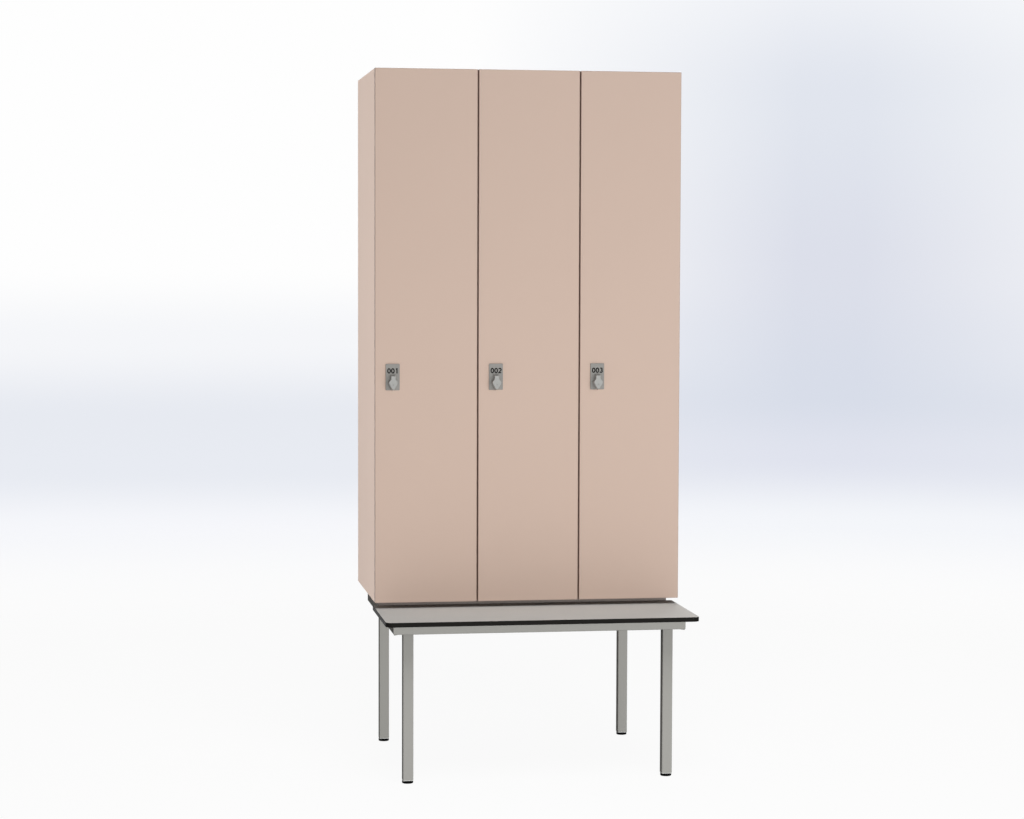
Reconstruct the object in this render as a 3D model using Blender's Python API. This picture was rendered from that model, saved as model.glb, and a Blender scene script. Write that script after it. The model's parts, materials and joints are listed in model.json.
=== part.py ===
"""Locker with bench: a cabinet of tall lockers on a steel-framed bench.

Metres, +Z up. X runs along the bench, -Y is the side a person sits on.
The origin is on the floor, in the middle of the whole object's footprint.
"""
from math import cos, pi, radians, sin

import bmesh
import bpy
from mathutils import Vector

# Clearance that resting and fitted pieces keep to each other
FIT = 0.0003

# Cabinet
CABINET_WIDTH = 0.900
CABINET_DEPTH = 0.515
CABINET_HEIGHT = 1.546
COLUMNS = 3
PANEL = 0.018
PANEL_EDGE = 0.001
BACK_PANEL = 0.008
BACK_REBATE = 0.009

# Doors
DOOR = 0.018
DOOR_EDGE = 0.0012
DOOR_GAP = 0.004
DOOR_STANDOFF = 0.0025

# Bench seat
SEAT_HEIGHT = 0.474
SEAT_PROJECTION = 0.292
SEAT_SIDE_INSET = 0.001
SEAT_DEPTH = 0.370
SEAT_BOARD = 0.013
SEAT_CORNER = 0.018
SEAT_REAR_CORNER = 0.003
SEAT_EDGE = 0.001
SEAT_TO_CABINET = 0.0172

# Steel underframe
TUBE = 0.030
TUBE_WALL = 0.002
TUBE_CORNER = 0.003
FRAME_SIDE_INSET = 0.029
FRAME_FRONT_INSET = 0.0625
FRAME_REAR_INSET = 0.010
MITRE_GAP = 0.0002

# Feet: a square insert in the tube, its collar, and a round glide below
GLIDE_RADIUS = 0.016
GLIDE_HEIGHT = 0.0055
GLIDE_ROUNDING = 0.0018
GLIDE_ROUNDING_STEPS = 2
COLLAR_WIDTH = 0.0285
COLLAR_HEIGHT = 0.003
COLLAR_CORNER = 0.003
INSERT_DEPTH = 0.022
INSERT_CORNER = 0.0012

# Plinth between the underframe and the cabinet
PLINTH = 0.018
PLINTH_SETBACK = 0.080
PLINTH_REAR_INSET = 0.028

# Inside each locker
SHELF_DROP = 0.300
SHELF_FRONT_SETBACK = 0.020
COAT_RAIL_DROP = 0.060
COAT_RAIL_HEIGHT = 0.030
COAT_RAIL_THICKNESS = 0.015
COAT_RAIL_WALL = 0.0015
COAT_SOCKET_RIM = 0.004
COAT_SOCKET_LENGTH = 0.012

# Turn lock
LOCK_HEIGHT = 0.657
LOCK_FROM_EDGE = 0.0512
PLATE_WIDTH = 0.0405
PLATE_HEIGHT = 0.0763
PLATE = 0.003
PLATE_CORNER = 0.002
PLATE_EDGE = 0.0006
KNOB_DROP = 0.017
BARREL_RADIUS = 0.011
BARREL_PROUD = 0.006
SPINDLE_RADIUS = 0.005
SPINDLE_SQUARE = 0.007
KNOB_THICKNESS = 0.0185
KNOB_NECK_TOP = 0.0245
KNOB_NECK_HALF_WIDTH = 0.0072
KNOB_NECK_CORNER = 0.0015
KNOB_SHOULDER_TOP = 0.0160
KNOB_BELLY_TOP = 0.0095
KNOB_BELLY_HALF_WIDTH = 0.0155
KNOB_TIP = 0.0220
KNOB_TIP_RADIUS = 0.0028
KNOB_DRAFT = 0.84
KNOB_ROUNDING = 0.0014
KEYWAY_RADIUS = 0.0028
KEYWAY_DEPTH = 0.0015
KEYWAY_DROP = 0.005
CAM = 0.0025
CAM_HUB_RADIUS = 0.009
CAM_TIP_RADIUS = 0.007
CAM_REACH = 0.030
STRIKE = 0.002
STRIKE_REACH = 0.020
STRIKE_HEIGHT = 0.030
STRIKE_LEG = 0.024
STRIKE_SETBACK = 0.001
STRIKE_CORNER = 0.004

# Concealed cup hinges
HINGE_PLACES = ("bottom", "middle", "top")
HINGE_END_DISTANCE = 0.110
CUP_RADIUS = 0.0172
CUP_DEPTH = 0.012
CUP_WALL = 0.0014
CUP_FROM_EDGE = 0.0225
CUP_FLANGE = 0.0012
CUP_FLANGE_RIM = 0.0012
CUP_EARS_SPAN = 0.060
CUP_EARS_WIDTH = 0.015
ARM_WIDTH = 0.013
ARM_HEIGHT = 0.0095
ARM_NOSE_HEIGHT = 0.009
NOSE_INSET = 0.0025
ARM_NOSE_LENGTH = 0.009
ARM_CRANK_LENGTH = 0.017
ARM_LENGTH = 0.062
ARM_BASE = 0.0025
ARM_BASE_WIDTH = 0.017
WING_DISTANCE = 0.037
WING_WIDTH = 0.013
WING_SPAN = 0.048
ARM_ROUNDING = 0.0008
ARM_TAIL_CHAMFER = 0.0025
STAMPED_EDGE = 0.0006

ROUND_SIDES = 24
CORNER_STEPS = 4
SWELL_STEPS = 6
TIP_STEPS = 2
SMOOTH_ANGLE = radians(32)
SHORTEST_EDGE = 1e-6

# Levels and planes that follow from the sizes above
SEAT_WIDTH = CABINET_WIDTH - 2 * SEAT_SIDE_INSET
FRAME_WIDTH = CABINET_WIDTH - 2 * FRAME_SIDE_INSET
CABINET_BOTTOM = SEAT_HEIGHT + SEAT_TO_CABINET
CABINET_TOP = CABINET_BOTTOM + CABINET_HEIGHT
RAIL_TOP = SEAT_HEIGHT - SEAT_BOARD - FIT
RAIL_MIDDLE = RAIL_TOP - TUBE / 2
LEG_BOTTOM = GLIDE_HEIGHT + COLLAR_HEIGHT + FIT
OVERALL_DEPTH = SEAT_PROJECTION + CABINET_DEPTH
SEAT_FRONT = -OVERALL_DEPTH / 2
DOOR_FRONT = SEAT_FRONT + SEAT_PROJECTION
CABINET_BACK = DOOR_FRONT + CABINET_DEPTH
DOOR_BACK = DOOR_FRONT + DOOR
CARCASS_FRONT = DOOR_BACK + DOOR_STANDOFF
BACK_PANEL_FRONT = CABINET_BACK - BACK_PANEL
INNER_BACK = BACK_PANEL_FRONT - FIT
INNER_BOTTOM = CABINET_BOTTOM + PANEL
INNER_TOP = CABINET_TOP - PANEL
FRAME_FRONT = SEAT_FRONT + FRAME_FRONT_INSET
FRAME_BACK = CABINET_BACK - FRAME_REAR_INSET
FRAME_DEPTH = FRAME_BACK - FRAME_FRONT
COLUMN_WIDTH = CABINET_WIDTH / COLUMNS
SHELF_TOP = INNER_TOP - SHELF_DROP
COAT_RAIL_LEVEL = SHELF_TOP - PANEL - COAT_RAIL_DROP
PLATE_LEVEL = CABINET_BOTTOM + LOCK_HEIGHT
KNOB_LEVEL = PLATE_LEVEL - KNOB_DROP
BARREL_END = DOOR_BACK + BARREL_PROUD
CAM_FRONT = BARREL_END + FIT


def clear_scene():
    """Removes whatever the opened file holds."""
    for thing in list(bpy.data.objects):
        bpy.data.objects.remove(thing, do_unlink=True)


def finish(name, colour, roughness, metallic=0.0):
    """A Principled finish shared by like pieces."""
    material = bpy.data.materials.new(name)
    material.use_nodes = True
    shader = material.node_tree.nodes["Principled BSDF"]
    shader.inputs["Base Color"].default_value = (*colour, 1.0)
    shader.inputs["Roughness"].default_value = roughness
    shader.inputs["Metallic"].default_value = metallic
    material.diffuse_color = (*colour, 1.0)
    return material


def mesh_from(bm, name):
    """Turns a bmesh into a mesh with outward faces and smooth round stretches."""
    bmesh.ops.remove_doubles(bm, verts=bm.verts, dist=SHORTEST_EDGE)
    bmesh.ops.recalc_face_normals(bm, faces=bm.faces)
    if bm.calc_volume(signed=True) < 0:
        bmesh.ops.reverse_faces(bm, faces=bm.faces)
    mesh = bpy.data.meshes.new(name)
    bm.to_mesh(mesh)
    bm.free()
    mesh.shade_smooth()
    mesh.set_sharp_from_angle(angle=SMOOTH_ANGLE)
    return mesh


def place(name, mesh, material, location=(0, 0, 0), parent=None):
    """Adds one piece at a world position, riding on its parent if it has one."""
    if not mesh.materials:
        mesh.materials.append(material)
    piece = bpy.data.objects.new(name, mesh)
    bpy.context.scene.collection.objects.link(piece)
    position = Vector(location)
    if parent is not None:
        piece.parent = parent
        position = position - parent.location
    piece.location = position
    return piece


def cut_and_join(mesh, joined=(), cut=()):
    """The mesh with other meshes united with it and cut from it, in that order."""
    helpers = []
    body = bpy.data.objects.new("work_body", mesh)
    bpy.context.scene.collection.objects.link(body)
    for operation, tools in (("UNION", joined), ("DIFFERENCE", cut)):
        for tool in tools:
            helper = bpy.data.objects.new("work_tool", tool)
            helper.hide_render = True
            helper.display_type = "WIRE"
            bpy.context.scene.collection.objects.link(helper)
            helpers.append(helper)
            step = body.modifiers.new(operation.lower(), "BOOLEAN")
            step.operation = operation
            step.solver = "EXACT"
            step.object = helper
    evaluated = body.evaluated_get(bpy.context.evaluated_depsgraph_get())
    result = bpy.data.meshes.new_from_object(evaluated)
    result.name = mesh.name
    for helper in helpers + [body]:
        bpy.data.objects.remove(helper, do_unlink=True)
    result.materials.clear()
    result.shade_smooth()
    result.set_sharp_from_angle(angle=SMOOTH_ANGLE)
    return result


def box(name, low, high, edge=0.0):
    """A block between two corners, its edges eased."""
    low, high = Vector(low), Vector(high)
    size = high - low
    bm = bmesh.new()
    bmesh.ops.create_cube(bm, size=1.0)
    bmesh.ops.scale(bm, vec=size, verts=bm.verts)
    bmesh.ops.translate(bm, vec=(low + high) / 2, verts=bm.verts)
    if edge > 0:
        bmesh.ops.bevel(bm, geom=bm.edges, offset=edge, segments=1, profile=0.5,
                        affect="EDGES", material=-1)
    return mesh_from(bm, name)


def extrude_outline(bm, points, offset):
    """A closed solid from a flat outline, drawn out by the offset."""
    base = bm.faces.new([bm.verts.new(point) for point in points])
    drawn = bmesh.ops.extrude_face_region(bm, geom=[base], use_keep_orig=True)
    moved = [item for item in drawn["geom"] if isinstance(item, bmesh.types.BMVert)]
    bmesh.ops.translate(bm, vec=offset, verts=moved)
    bmesh.ops.recalc_face_normals(bm, faces=bm.faces)


def rim_edges(bm, direction, level):
    """The edges that lie wholly at one level along a direction."""
    return [edge for edge in bm.edges
            if all(abs(vert.co.dot(direction) - level) < 1e-5 for vert in edge.verts)]


def ease_rims(bm, direction, levels, width, segments=2):
    """Rounds the rims of an extruded solid at the given levels."""
    rims = []
    for level in levels:
        rims += rim_edges(bm, direction, level)
    bmesh.ops.bevel(bm, geom=rims, offset=width, segments=segments, profile=0.5,
                    affect="EDGES", material=-1)


def rounded_rectangle(half_u, half_v, radius, steps=CORNER_STEPS):
    """Points round a rectangle with arcs at its corners, anticlockwise."""
    return rounded_corners(half_u, half_v, (radius,) * 4, steps)


def rounded_corners(half_u, half_v, radii, steps=CORNER_STEPS):
    """As rounded_rectangle, with a radius for each corner from +U+V onwards."""
    signs = ((1, 1), (-1, 1), (-1, -1), (1, -1))
    points = []
    for quarter, ((sign_u, sign_v), radius) in enumerate(zip(signs, radii)):
        centre_u = sign_u * (half_u - radius)
        centre_v = sign_v * (half_v - radius)
        for step in range(steps + 1):
            angle = (quarter + step / steps) * pi / 2
            point = Vector((centre_u + radius * cos(angle), centre_v + radius * sin(angle)))
            if not points or (point - points[-1]).length > SHORTEST_EDGE:
                points.append(point)
    if (points[0] - points[-1]).length <= SHORTEST_EDGE:
        points.pop()
    return points


def circle(radius):
    """Points round a circle, anticlockwise from +U."""
    angles = [2 * pi * side / ROUND_SIDES for side in range(ROUND_SIDES)]
    return [(radius * cos(angle), radius * sin(angle)) for angle in angles]


def loft(name, loops):
    """A closed solid through loops of as many points each, capped at both ends."""
    bm = bmesh.new()
    rings = []
    for loop in loops:
        verts = [bm.verts.new(point) for point in loop]
        rings.append([bm.edges.new((verts[index - 1], verts[index]))
                      for index in range(len(verts))])
    for ring, following in zip(rings, rings[1:]):
        bmesh.ops.bridge_loops(bm, edges=ring + following)
    bmesh.ops.edgeloop_fill(bm, edges=rings[0])
    bmesh.ops.edgeloop_fill(bm, edges=rings[-1])
    return mesh_from(bm, name)


def rod(name, radius, start, length, centre=(0.0, 0.0)):
    """A round bar along +Y from the start, centred on an X, Z point."""
    loops = [[Vector((centre[0] + u, y, centre[1] + v)) for u, v in circle(radius)]
             for y in (start, start + length)]
    return loft(name, loops)


def hollow_section(bm, outer, inner, to_point, offset):
    """Draws out the ring between two outlines of as many points."""
    rings = []
    for outline in (outer, inner):
        verts = [bm.verts.new(to_point(u, v)) for u, v in outline]
        rings.append([bm.edges.new((verts[index - 1], verts[index]))
                      for index in range(len(verts))])
    ends = bmesh.ops.bridge_loops(bm, edges=rings[0] + rings[1])["faces"]
    drawn = bmesh.ops.extrude_face_region(bm, geom=ends, use_keep_orig=True)
    moved = [item for item in drawn["geom"] if isinstance(item, bmesh.types.BMVert)]
    bmesh.ops.translate(bm, vec=offset, verts=moved)


def tube_outlines():
    """The outer and inner outline of the square steel tube."""
    outer = rounded_rectangle(TUBE / 2, TUBE / 2, TUBE_CORNER)
    inner_half = TUBE / 2 - TUBE_WALL
    inner = rounded_rectangle(inner_half, inner_half, TUBE_CORNER - TUBE_WALL)
    return outer, inner


def mitred_rail(name, length, outward):
    """A rail along X about the origin, mitred so that its outward side is longest."""
    outer, inner = tube_outlines()
    bm = bmesh.new()
    half = length / 2 - MITRE_GAP
    hollow_section(bm, outer, inner, lambda u, v: (-half, u, v), (2 * half, 0, 0))
    for vert in bm.verts:
        from_outside = TUBE / 2 - outward * vert.co.y
        vert.co.x += from_outside if vert.co.x < 0 else -from_outside
    return mesh_from(bm, name)


def make_underframe(steel):
    """A mitred ring of square tube, with a leg inside each corner."""
    across = mitred_rail("rail_across", FRAME_WIDTH, 1)
    along = mitred_rail("rail_along", FRAME_DEPTH, 1)
    middle = (FRAME_FRONT + FRAME_BACK) / 2
    side = FRAME_WIDTH / 2 - TUBE / 2
    rails = (
        ("front_rail", across, pi, (0, FRAME_FRONT + TUBE / 2)),
        ("rear_rail", across, 0.0, (0, FRAME_BACK - TUBE / 2)),
        ("left_rail", along, pi / 2, (-side, middle)),
        ("right_rail", along, -pi / 2, (side, middle)),
    )
    for name, mesh, turn, (x, y) in rails:
        rail = place(name, mesh, steel, (x, y, RAIL_MIDDLE))
        rail.rotation_euler.z = turn
    outer, inner = tube_outlines()
    bm = bmesh.new()
    hollow_section(bm, outer, inner, lambda u, v: (u, v, LEG_BOTTOM),
                   (0, 0, RAIL_TOP - LEG_BOTTOM))
    leg = mesh_from(bm, "leg")
    for corner, (x, y) in leg_places().items():
        place("leg_" + corner, leg, steel, (x, y, 0))


def leg_places():
    """The middle of each leg, against the inside of the ring's corners."""
    inset = TUBE + FIT + TUBE / 2
    side = FRAME_WIDTH / 2 - inset
    front, back = FRAME_FRONT + inset, FRAME_BACK - inset
    return {"front_left": (-side, front), "front_right": (side, front),
            "rear_left": (-side, back), "rear_right": (side, back)}


def square_block(name, half, corner, bottom, height):
    """An upright square block with rounded corners, centred on the Z axis."""
    bm = bmesh.new()
    outline = rounded_rectangle(half, half, corner)
    extrude_outline(bm, [(u, v, bottom) for u, v in outline], (0, 0, height))
    return mesh_from(bm, name)


def make_feet(plastic):
    """A glide, its collar and the insert that holds it in the tube, moulded as one."""
    collar_middle = GLIDE_HEIGHT + COLLAR_HEIGHT / 2
    levels = []
    for step in range(GLIDE_ROUNDING_STEPS + 1):
        angle = pi / 2 * step / GLIDE_ROUNDING_STEPS
        radius = GLIDE_RADIUS - GLIDE_ROUNDING * (1 - sin(angle))
        levels.append((radius, GLIDE_ROUNDING * (1 - cos(angle))))
    levels.append((GLIDE_RADIUS, collar_middle))
    glide = loft("foot", [[Vector((u, v, level)) for u, v in circle(radius)]
                          for radius, level in levels])
    collar = square_block("collar", COLLAR_WIDTH / 2, COLLAR_CORNER, GLIDE_HEIGHT, COLLAR_HEIGHT)
    insert = square_block("insert", TUBE / 2 - TUBE_WALL - FIT, INSERT_CORNER, collar_middle,
                          INSERT_DEPTH)
    foot = cut_and_join(glide, joined=[collar, insert])
    for corner, (x, y) in leg_places().items():
        place("foot_" + corner, foot, plastic, (x, y, 0))


def make_bench_board(laminate):
    """The seat: a compact board with rounded front corners and eased edges."""
    middle = SEAT_FRONT + SEAT_DEPTH / 2
    front, rear = SEAT_CORNER, SEAT_REAR_CORNER
    outline = rounded_corners(SEAT_WIDTH / 2, SEAT_DEPTH / 2, (rear, rear, front, front), 6)
    bottom = SEAT_HEIGHT - SEAT_BOARD
    bm = bmesh.new()
    extrude_outline(bm, [(u, middle + v, bottom) for u, v in outline], (0, 0, SEAT_BOARD))
    ease_rims(bm, Vector((0, 0, 1)), (bottom, SEAT_HEIGHT), SEAT_EDGE)
    place("bench_board", mesh_from(bm, "bench_board"), laminate)


def make_plinth(board):
    """The frame of strips that carries the cabinet on the steel ring."""
    bottom, top = RAIL_TOP + FIT, CABINET_BOTTOM - FIT
    front = DOOR_FRONT + PLINTH_SETBACK
    back = CABINET_BACK - PLINTH_REAR_INSET
    front_half = CABINET_WIDTH / 2 - PANEL
    side_half = FRAME_WIDTH / 2
    front_strip = box("plinth", (-front_half, front, bottom), (front_half, front + PLINTH, top))
    frame = box("plinth_frame", (-side_half, front + PLINTH / 2, bottom), (side_half, back, top))
    reach = top - bottom
    opening = box("plinth_opening",
                  (-side_half + PLINTH, front + PLINTH, bottom - reach),
                  (side_half - PLINTH, back - PLINTH, top + reach))
    place("plinth", cut_and_join(front_strip, joined=[frame], cut=[opening]), board)


def side_panel(name, sign):
    """A side of the cabinet, rebated along its rear inner edge for the back panel."""
    outside = sign * CABINET_WIDTH / 2
    inside = outside - sign * PANEL
    rebate = inside + sign * BACK_REBATE
    outline = [(outside, CARCASS_FRONT), (inside, CARCASS_FRONT), (inside, BACK_PANEL_FRONT),
               (rebate, BACK_PANEL_FRONT), (rebate, CABINET_BACK), (outside, CABINET_BACK)]
    bm = bmesh.new()
    extrude_outline(bm, [(x, y, CABINET_BOTTOM) for x, y in outline], (0, 0, CABINET_HEIGHT))
    outer_edges = [edge for edge in bm.edges
                   if all(abs(vert.co.x - outside) < 1e-5 for vert in edge.verts)]
    bmesh.ops.bevel(bm, geom=outer_edges, offset=PANEL_EDGE, segments=2, profile=0.5,
                    affect="EDGES", material=-1)
    return mesh_from(bm, name)


def column_walls(column):
    """The X of the left and right inner wall of a locker."""
    left = -CABINET_WIDTH / 2 + column * COLUMN_WIDTH
    right = left + COLUMN_WIDTH
    left += PANEL if column == 0 else PANEL / 2
    right -= PANEL if column == COLUMNS - 1 else PANEL / 2
    return left, right


def make_carcass(board, back_board):
    """Sides, partitions, top, bottom and back."""
    place("left_side", side_panel("left_side", -1), board)
    place("right_side", side_panel("right_side", 1), board)
    half = CABINET_WIDTH / 2 - PANEL - FIT
    for name, low, high in (("bottom_panel", CABINET_BOTTOM, INNER_BOTTOM),
                            ("top_panel", INNER_TOP, CABINET_TOP)):
        mesh = box(name, (-half, CARCASS_FRONT, low), (half, INNER_BACK, high), PANEL_EDGE)
        place(name, mesh, board)
    for column in range(1, COLUMNS):
        middle = -CABINET_WIDTH / 2 + column * COLUMN_WIDTH
        name = f"partition_{column}"
        mesh = box(name, (middle - PANEL / 2, CARCASS_FRONT, INNER_BOTTOM + FIT),
                   (middle + PANEL / 2, INNER_BACK, INNER_TOP - FIT), PANEL_EDGE)
        place(name, mesh, board)
    back_half = CABINET_WIDTH / 2 - PANEL + BACK_REBATE - FIT
    mesh = box("back_panel", (-back_half, BACK_PANEL_FRONT + FIT, CABINET_BOTTOM),
               (back_half, CABINET_BACK, CABINET_TOP))
    place("back_panel", mesh, back_board)


def oval_bar(name, reach, start, end, end_reach=None):
    """A bar of the coat rail's section along X, grown by a reach at either end."""
    if end_reach is None:
        end_reach = reach
    loops = []
    for x, grown in ((start, reach), (end, end_reach)):
        half_u, half_v = COAT_RAIL_THICKNESS / 2 + grown, COAT_RAIL_HEIGHT / 2 + grown
        loops.append([Vector((x, u, v)) for u, v in rounded_rectangle(half_u, half_v, half_u, 5)])
    return loft(name, loops)


def coat_rail(name, left, right):
    """An oval tube across a locker, with a tapered socket round each end."""
    start, end = left + FIT, right - FIT
    socket_edge = COAT_SOCKET_RIM / 2
    bar = oval_bar(name, 0.0, start + FIT, end - FIT)
    sockets = [
        oval_bar("socket", COAT_SOCKET_RIM, start, start + COAT_SOCKET_LENGTH, socket_edge),
        oval_bar("socket", socket_edge, end - COAT_SOCKET_LENGTH, end, COAT_SOCKET_RIM),
    ]
    bore = oval_bar("bore", -COAT_RAIL_WALL, start - COAT_SOCKET_LENGTH,
                    end + COAT_SOCKET_LENGTH)
    return cut_and_join(bar, joined=sockets, cut=[bore])


def make_interiors(board, steel):
    """A hat shelf and a coat rail in each locker."""
    rail_y = (CARCASS_FRONT + INNER_BACK) / 2
    for column in range(COLUMNS):
        left, right = column_walls(column)
        name = f"shelf_{column + 1}"
        mesh = box(name, (left + FIT, CARCASS_FRONT + SHELF_FRONT_SETBACK, SHELF_TOP - PANEL),
                   (right - FIT, INNER_BACK, SHELF_TOP), PANEL_EDGE)
        place(name, mesh, board)
        name = f"coat_rail_{column + 1}"
        place(name, coat_rail(name, left, right), steel, (0, rail_y, COAT_RAIL_LEVEL))


def door_edges(column):
    """The X of a door's left and right edge; neighbours share one gap."""
    left = -CABINET_WIDTH / 2 + column * COLUMN_WIDTH
    right = left + COLUMN_WIDTH
    left += 0.0 if column == 0 else DOOR_GAP / 2
    right -= 0.0 if column == COLUMNS - 1 else DOOR_GAP / 2
    return left, right


def hinge_levels():
    """The height of each hinge by the name of its place on the door."""
    low = CABINET_BOTTOM + HINGE_END_DISTANCE
    high = CABINET_TOP - HINGE_END_DISTANCE
    step = (high - low) / (len(HINGE_PLACES) - 1)
    return {place_name: low + step * index for index, place_name in enumerate(HINGE_PLACES)}


def make_door(column, board):
    """A door with its origin on the hinge axis, bored for its hinge cups and lock."""
    left, right = door_edges(column)
    width = right - left
    slab = box("door", (-width, 0, CABINET_BOTTOM), (0, DOOR, CABINET_TOP), DOOR_EDGE)
    reach = DOOR + CUP_DEPTH
    bores = [rod("cup_bore", CUP_RADIUS + FIT, DOOR - CUP_DEPTH, reach,
                 (-CUP_FROM_EDGE, level)) for level in hinge_levels().values()]
    bores.append(rod("lock_bore", BARREL_RADIUS + FIT, -DOOR, 3 * DOOR,
                     (LOCK_FROM_EDGE - width, KNOB_LEVEL)))
    return place(f"door_{column + 1}", cut_and_join(slab, cut=bores), board,
                 (right, DOOR_FRONT, 0))


def plate_mesh():
    """The lock's face plate and its barrel, bored for the spindle; knob axis at origin."""
    middle = KNOB_DROP
    outline = rounded_rectangle(PLATE_WIDTH / 2, PLATE_HEIGHT / 2, PLATE_CORNER)
    bm = bmesh.new()
    front = -FIT - PLATE
    extrude_outline(bm, [(u, front, middle + v) for u, v in outline], (0, PLATE, 0))
    ease_rims(bm, Vector((0, 1, 0)), (front,), PLATE_EDGE)
    plate = mesh_from(bm, "lock_plate")
    half = PLATE / 2
    barrel = rod("barrel", BARREL_RADIUS, -FIT - half, half + FIT + DOOR + BARREL_PROUD)
    bore = rod("spindle_bore", SPINDLE_RADIUS + FIT, -PLATE - DOOR, 4 * DOOR)
    return cut_and_join(plate, joined=[barrel], cut=[bore])


def knob_outline():
    """The turn knob seen from the front: a neck above, a wide belly, a tip below."""
    right = [(KNOB_NECK_HALF_WIDTH - KNOB_NECK_CORNER, KNOB_NECK_TOP),
             (KNOB_NECK_HALF_WIDTH, KNOB_NECK_TOP - KNOB_NECK_CORNER)]
    for step in range(SWELL_STEPS + 1):
        share = step / SWELL_STEPS
        swell = (1 - cos(pi * share)) / 2
        width = KNOB_NECK_HALF_WIDTH + (KNOB_BELLY_HALF_WIDTH - KNOB_NECK_HALF_WIDTH) * swell
        level = KNOB_SHOULDER_TOP + (KNOB_BELLY_TOP - KNOB_SHOULDER_TOP) * share
        right.append((width, level))
    right.append((KNOB_BELLY_HALF_WIDTH, 0.0))
    tip_centre = KNOB_TIP_RADIUS - KNOB_TIP
    for step in range(TIP_STEPS):
        angle = -pi / 2 * step / TIP_STEPS
        right.append((KNOB_TIP_RADIUS * cos(angle), tip_centre + KNOB_TIP_RADIUS * sin(angle)))
    left = [(-u, v) for u, v in reversed(right)]
    return right + [(0.0, -KNOB_TIP)] + left


def knob_mesh():
    """The turn knob with its spindle and square end; its axis runs through the origin."""
    back = -FIT - PLATE - FIT
    front = back - KNOB_THICKNESS
    bm = bmesh.new()
    extrude_outline(bm, [(u, back, v) for u, v in knob_outline()], (0, -KNOB_THICKNESS, 0))
    face = [vert for vert in bm.verts if abs(vert.co.y - front) < 1e-5]
    bmesh.ops.scale(bm, vec=(KNOB_DRAFT, 1.0, KNOB_DRAFT), verts=face)
    ease_rims(bm, Vector((0, 1, 0)), (front,), KNOB_ROUNDING, 3)
    grip = mesh_from(bm, "lock_knob")
    overlap = KNOB_THICKNESS / 2
    cam_depth = CAM_FRONT - DOOR_FRONT
    spindle = rod("spindle", SPINDLE_RADIUS, back - overlap, overlap - back + cam_depth)
    half = SPINDLE_SQUARE / 2
    square_end = box("square_end", (-half, cam_depth - overlap, -half),
                     (half, cam_depth + CAM + FIT, half))
    keyway = rod("keyway", KEYWAY_RADIUS, front - KEYWAY_DEPTH, 2 * KEYWAY_DEPTH,
                 (0.0, -KEYWAY_DROP))
    return cut_and_join(grip, joined=[spindle, square_end], cut=[keyway])


def cam_mesh():
    """The flat cam: a hub round the spindle's square end and a tongue hanging down."""
    outline = []
    drop = CAM_REACH - CAM_TIP_RADIUS
    half_steps = ROUND_SIDES // 2
    for step in range(half_steps + 1):
        angle = pi * step / half_steps
        outline.append((CAM_HUB_RADIUS * cos(angle), CAM_HUB_RADIUS * sin(angle)))
    for step in range(half_steps + 1):
        angle = pi + pi * step / half_steps
        outline.append((CAM_TIP_RADIUS * cos(angle), CAM_TIP_RADIUS * sin(angle) - drop))
    start = CAM_FRONT - DOOR_FRONT
    bm = bmesh.new()
    extrude_outline(bm, [(u, start, v) for u, v in outline], (0, CAM, 0))
    cam = mesh_from(bm, "lock_cam")
    half = SPINDLE_SQUARE / 2 + FIT
    hole = box("cam_hole", (-half, start - CAM, -half), (half, start + 2 * CAM, half))
    return cut_and_join(cam, cut=[hole])


def strike_mesh():
    """The angle behind which the cam locks, on a wall at X = 0 with the locker at +X."""
    front = CARCASS_FRONT - DOOR_FRONT + STRIKE_SETBACK
    outline = [(0, front), (STRIKE_REACH, front), (STRIKE_REACH, front + STRIKE),
               (STRIKE, front + STRIKE), (STRIKE, front + STRIKE_LEG), (0, front + STRIKE_LEG)]
    bm = bmesh.new()
    low = -STRIKE_HEIGHT / 2
    extrude_outline(bm, [(x, y, low) for x, y in outline], (0, 0, STRIKE_HEIGHT))
    tip_edges = [edge for edge in bm.edges
                 if all(abs(vert.co.x - STRIKE_REACH) < 1e-5 for vert in edge.verts)
                 and abs(edge.verts[0].co.y - edge.verts[1].co.y) > 1e-5]
    bmesh.ops.bevel(bm, geom=tip_edges, offset=STRIKE_CORNER, segments=3, profile=0.5,
                    affect="EDGES", material=-1)
    return mesh_from(bm, "lock_strike")


def make_locks(doors, zinc, die_cast, grip):
    """Plate, knob and cam on each door, and the strike on the wall beside it."""
    plate, knob, cam, strike = plate_mesh(), knob_mesh(), cam_mesh(), strike_mesh()
    for column, door in enumerate(doors):
        left, _ = door_edges(column)
        axis = (left + LOCK_FROM_EDGE, DOOR_FRONT, KNOB_LEVEL)
        place(f"lock_plate_{column + 1}", plate, die_cast, axis, door)
        place(f"lock_knob_{column + 1}", knob, grip, axis, door)
        place(f"lock_cam_{column + 1}", cam, zinc, axis, door)
        wall, _ = column_walls(column)
        place(f"lock_strike_{column + 1}", strike, zinc, (wall + FIT, DOOR_FRONT, KNOB_LEVEL))


def cup_flange_outline():
    """A circle round the cup with an ear above and below, anticlockwise."""
    points = []
    for angle in (pi * side / ROUND_SIDES for side in range(2 * ROUND_SIDES)):
        across, along = abs(cos(angle)), abs(sin(angle))
        ear = CUP_EARS_SPAN / 2 / max(along, SHORTEST_EDGE)
        side_of_ear = CUP_EARS_WIDTH / 2 / max(across, SHORTEST_EDGE)
        reach = max(CUP_RADIUS + CUP_FLANGE_RIM, min(ear, side_of_ear))
        points.append((reach * cos(angle), reach * sin(angle)))
    return points


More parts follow.
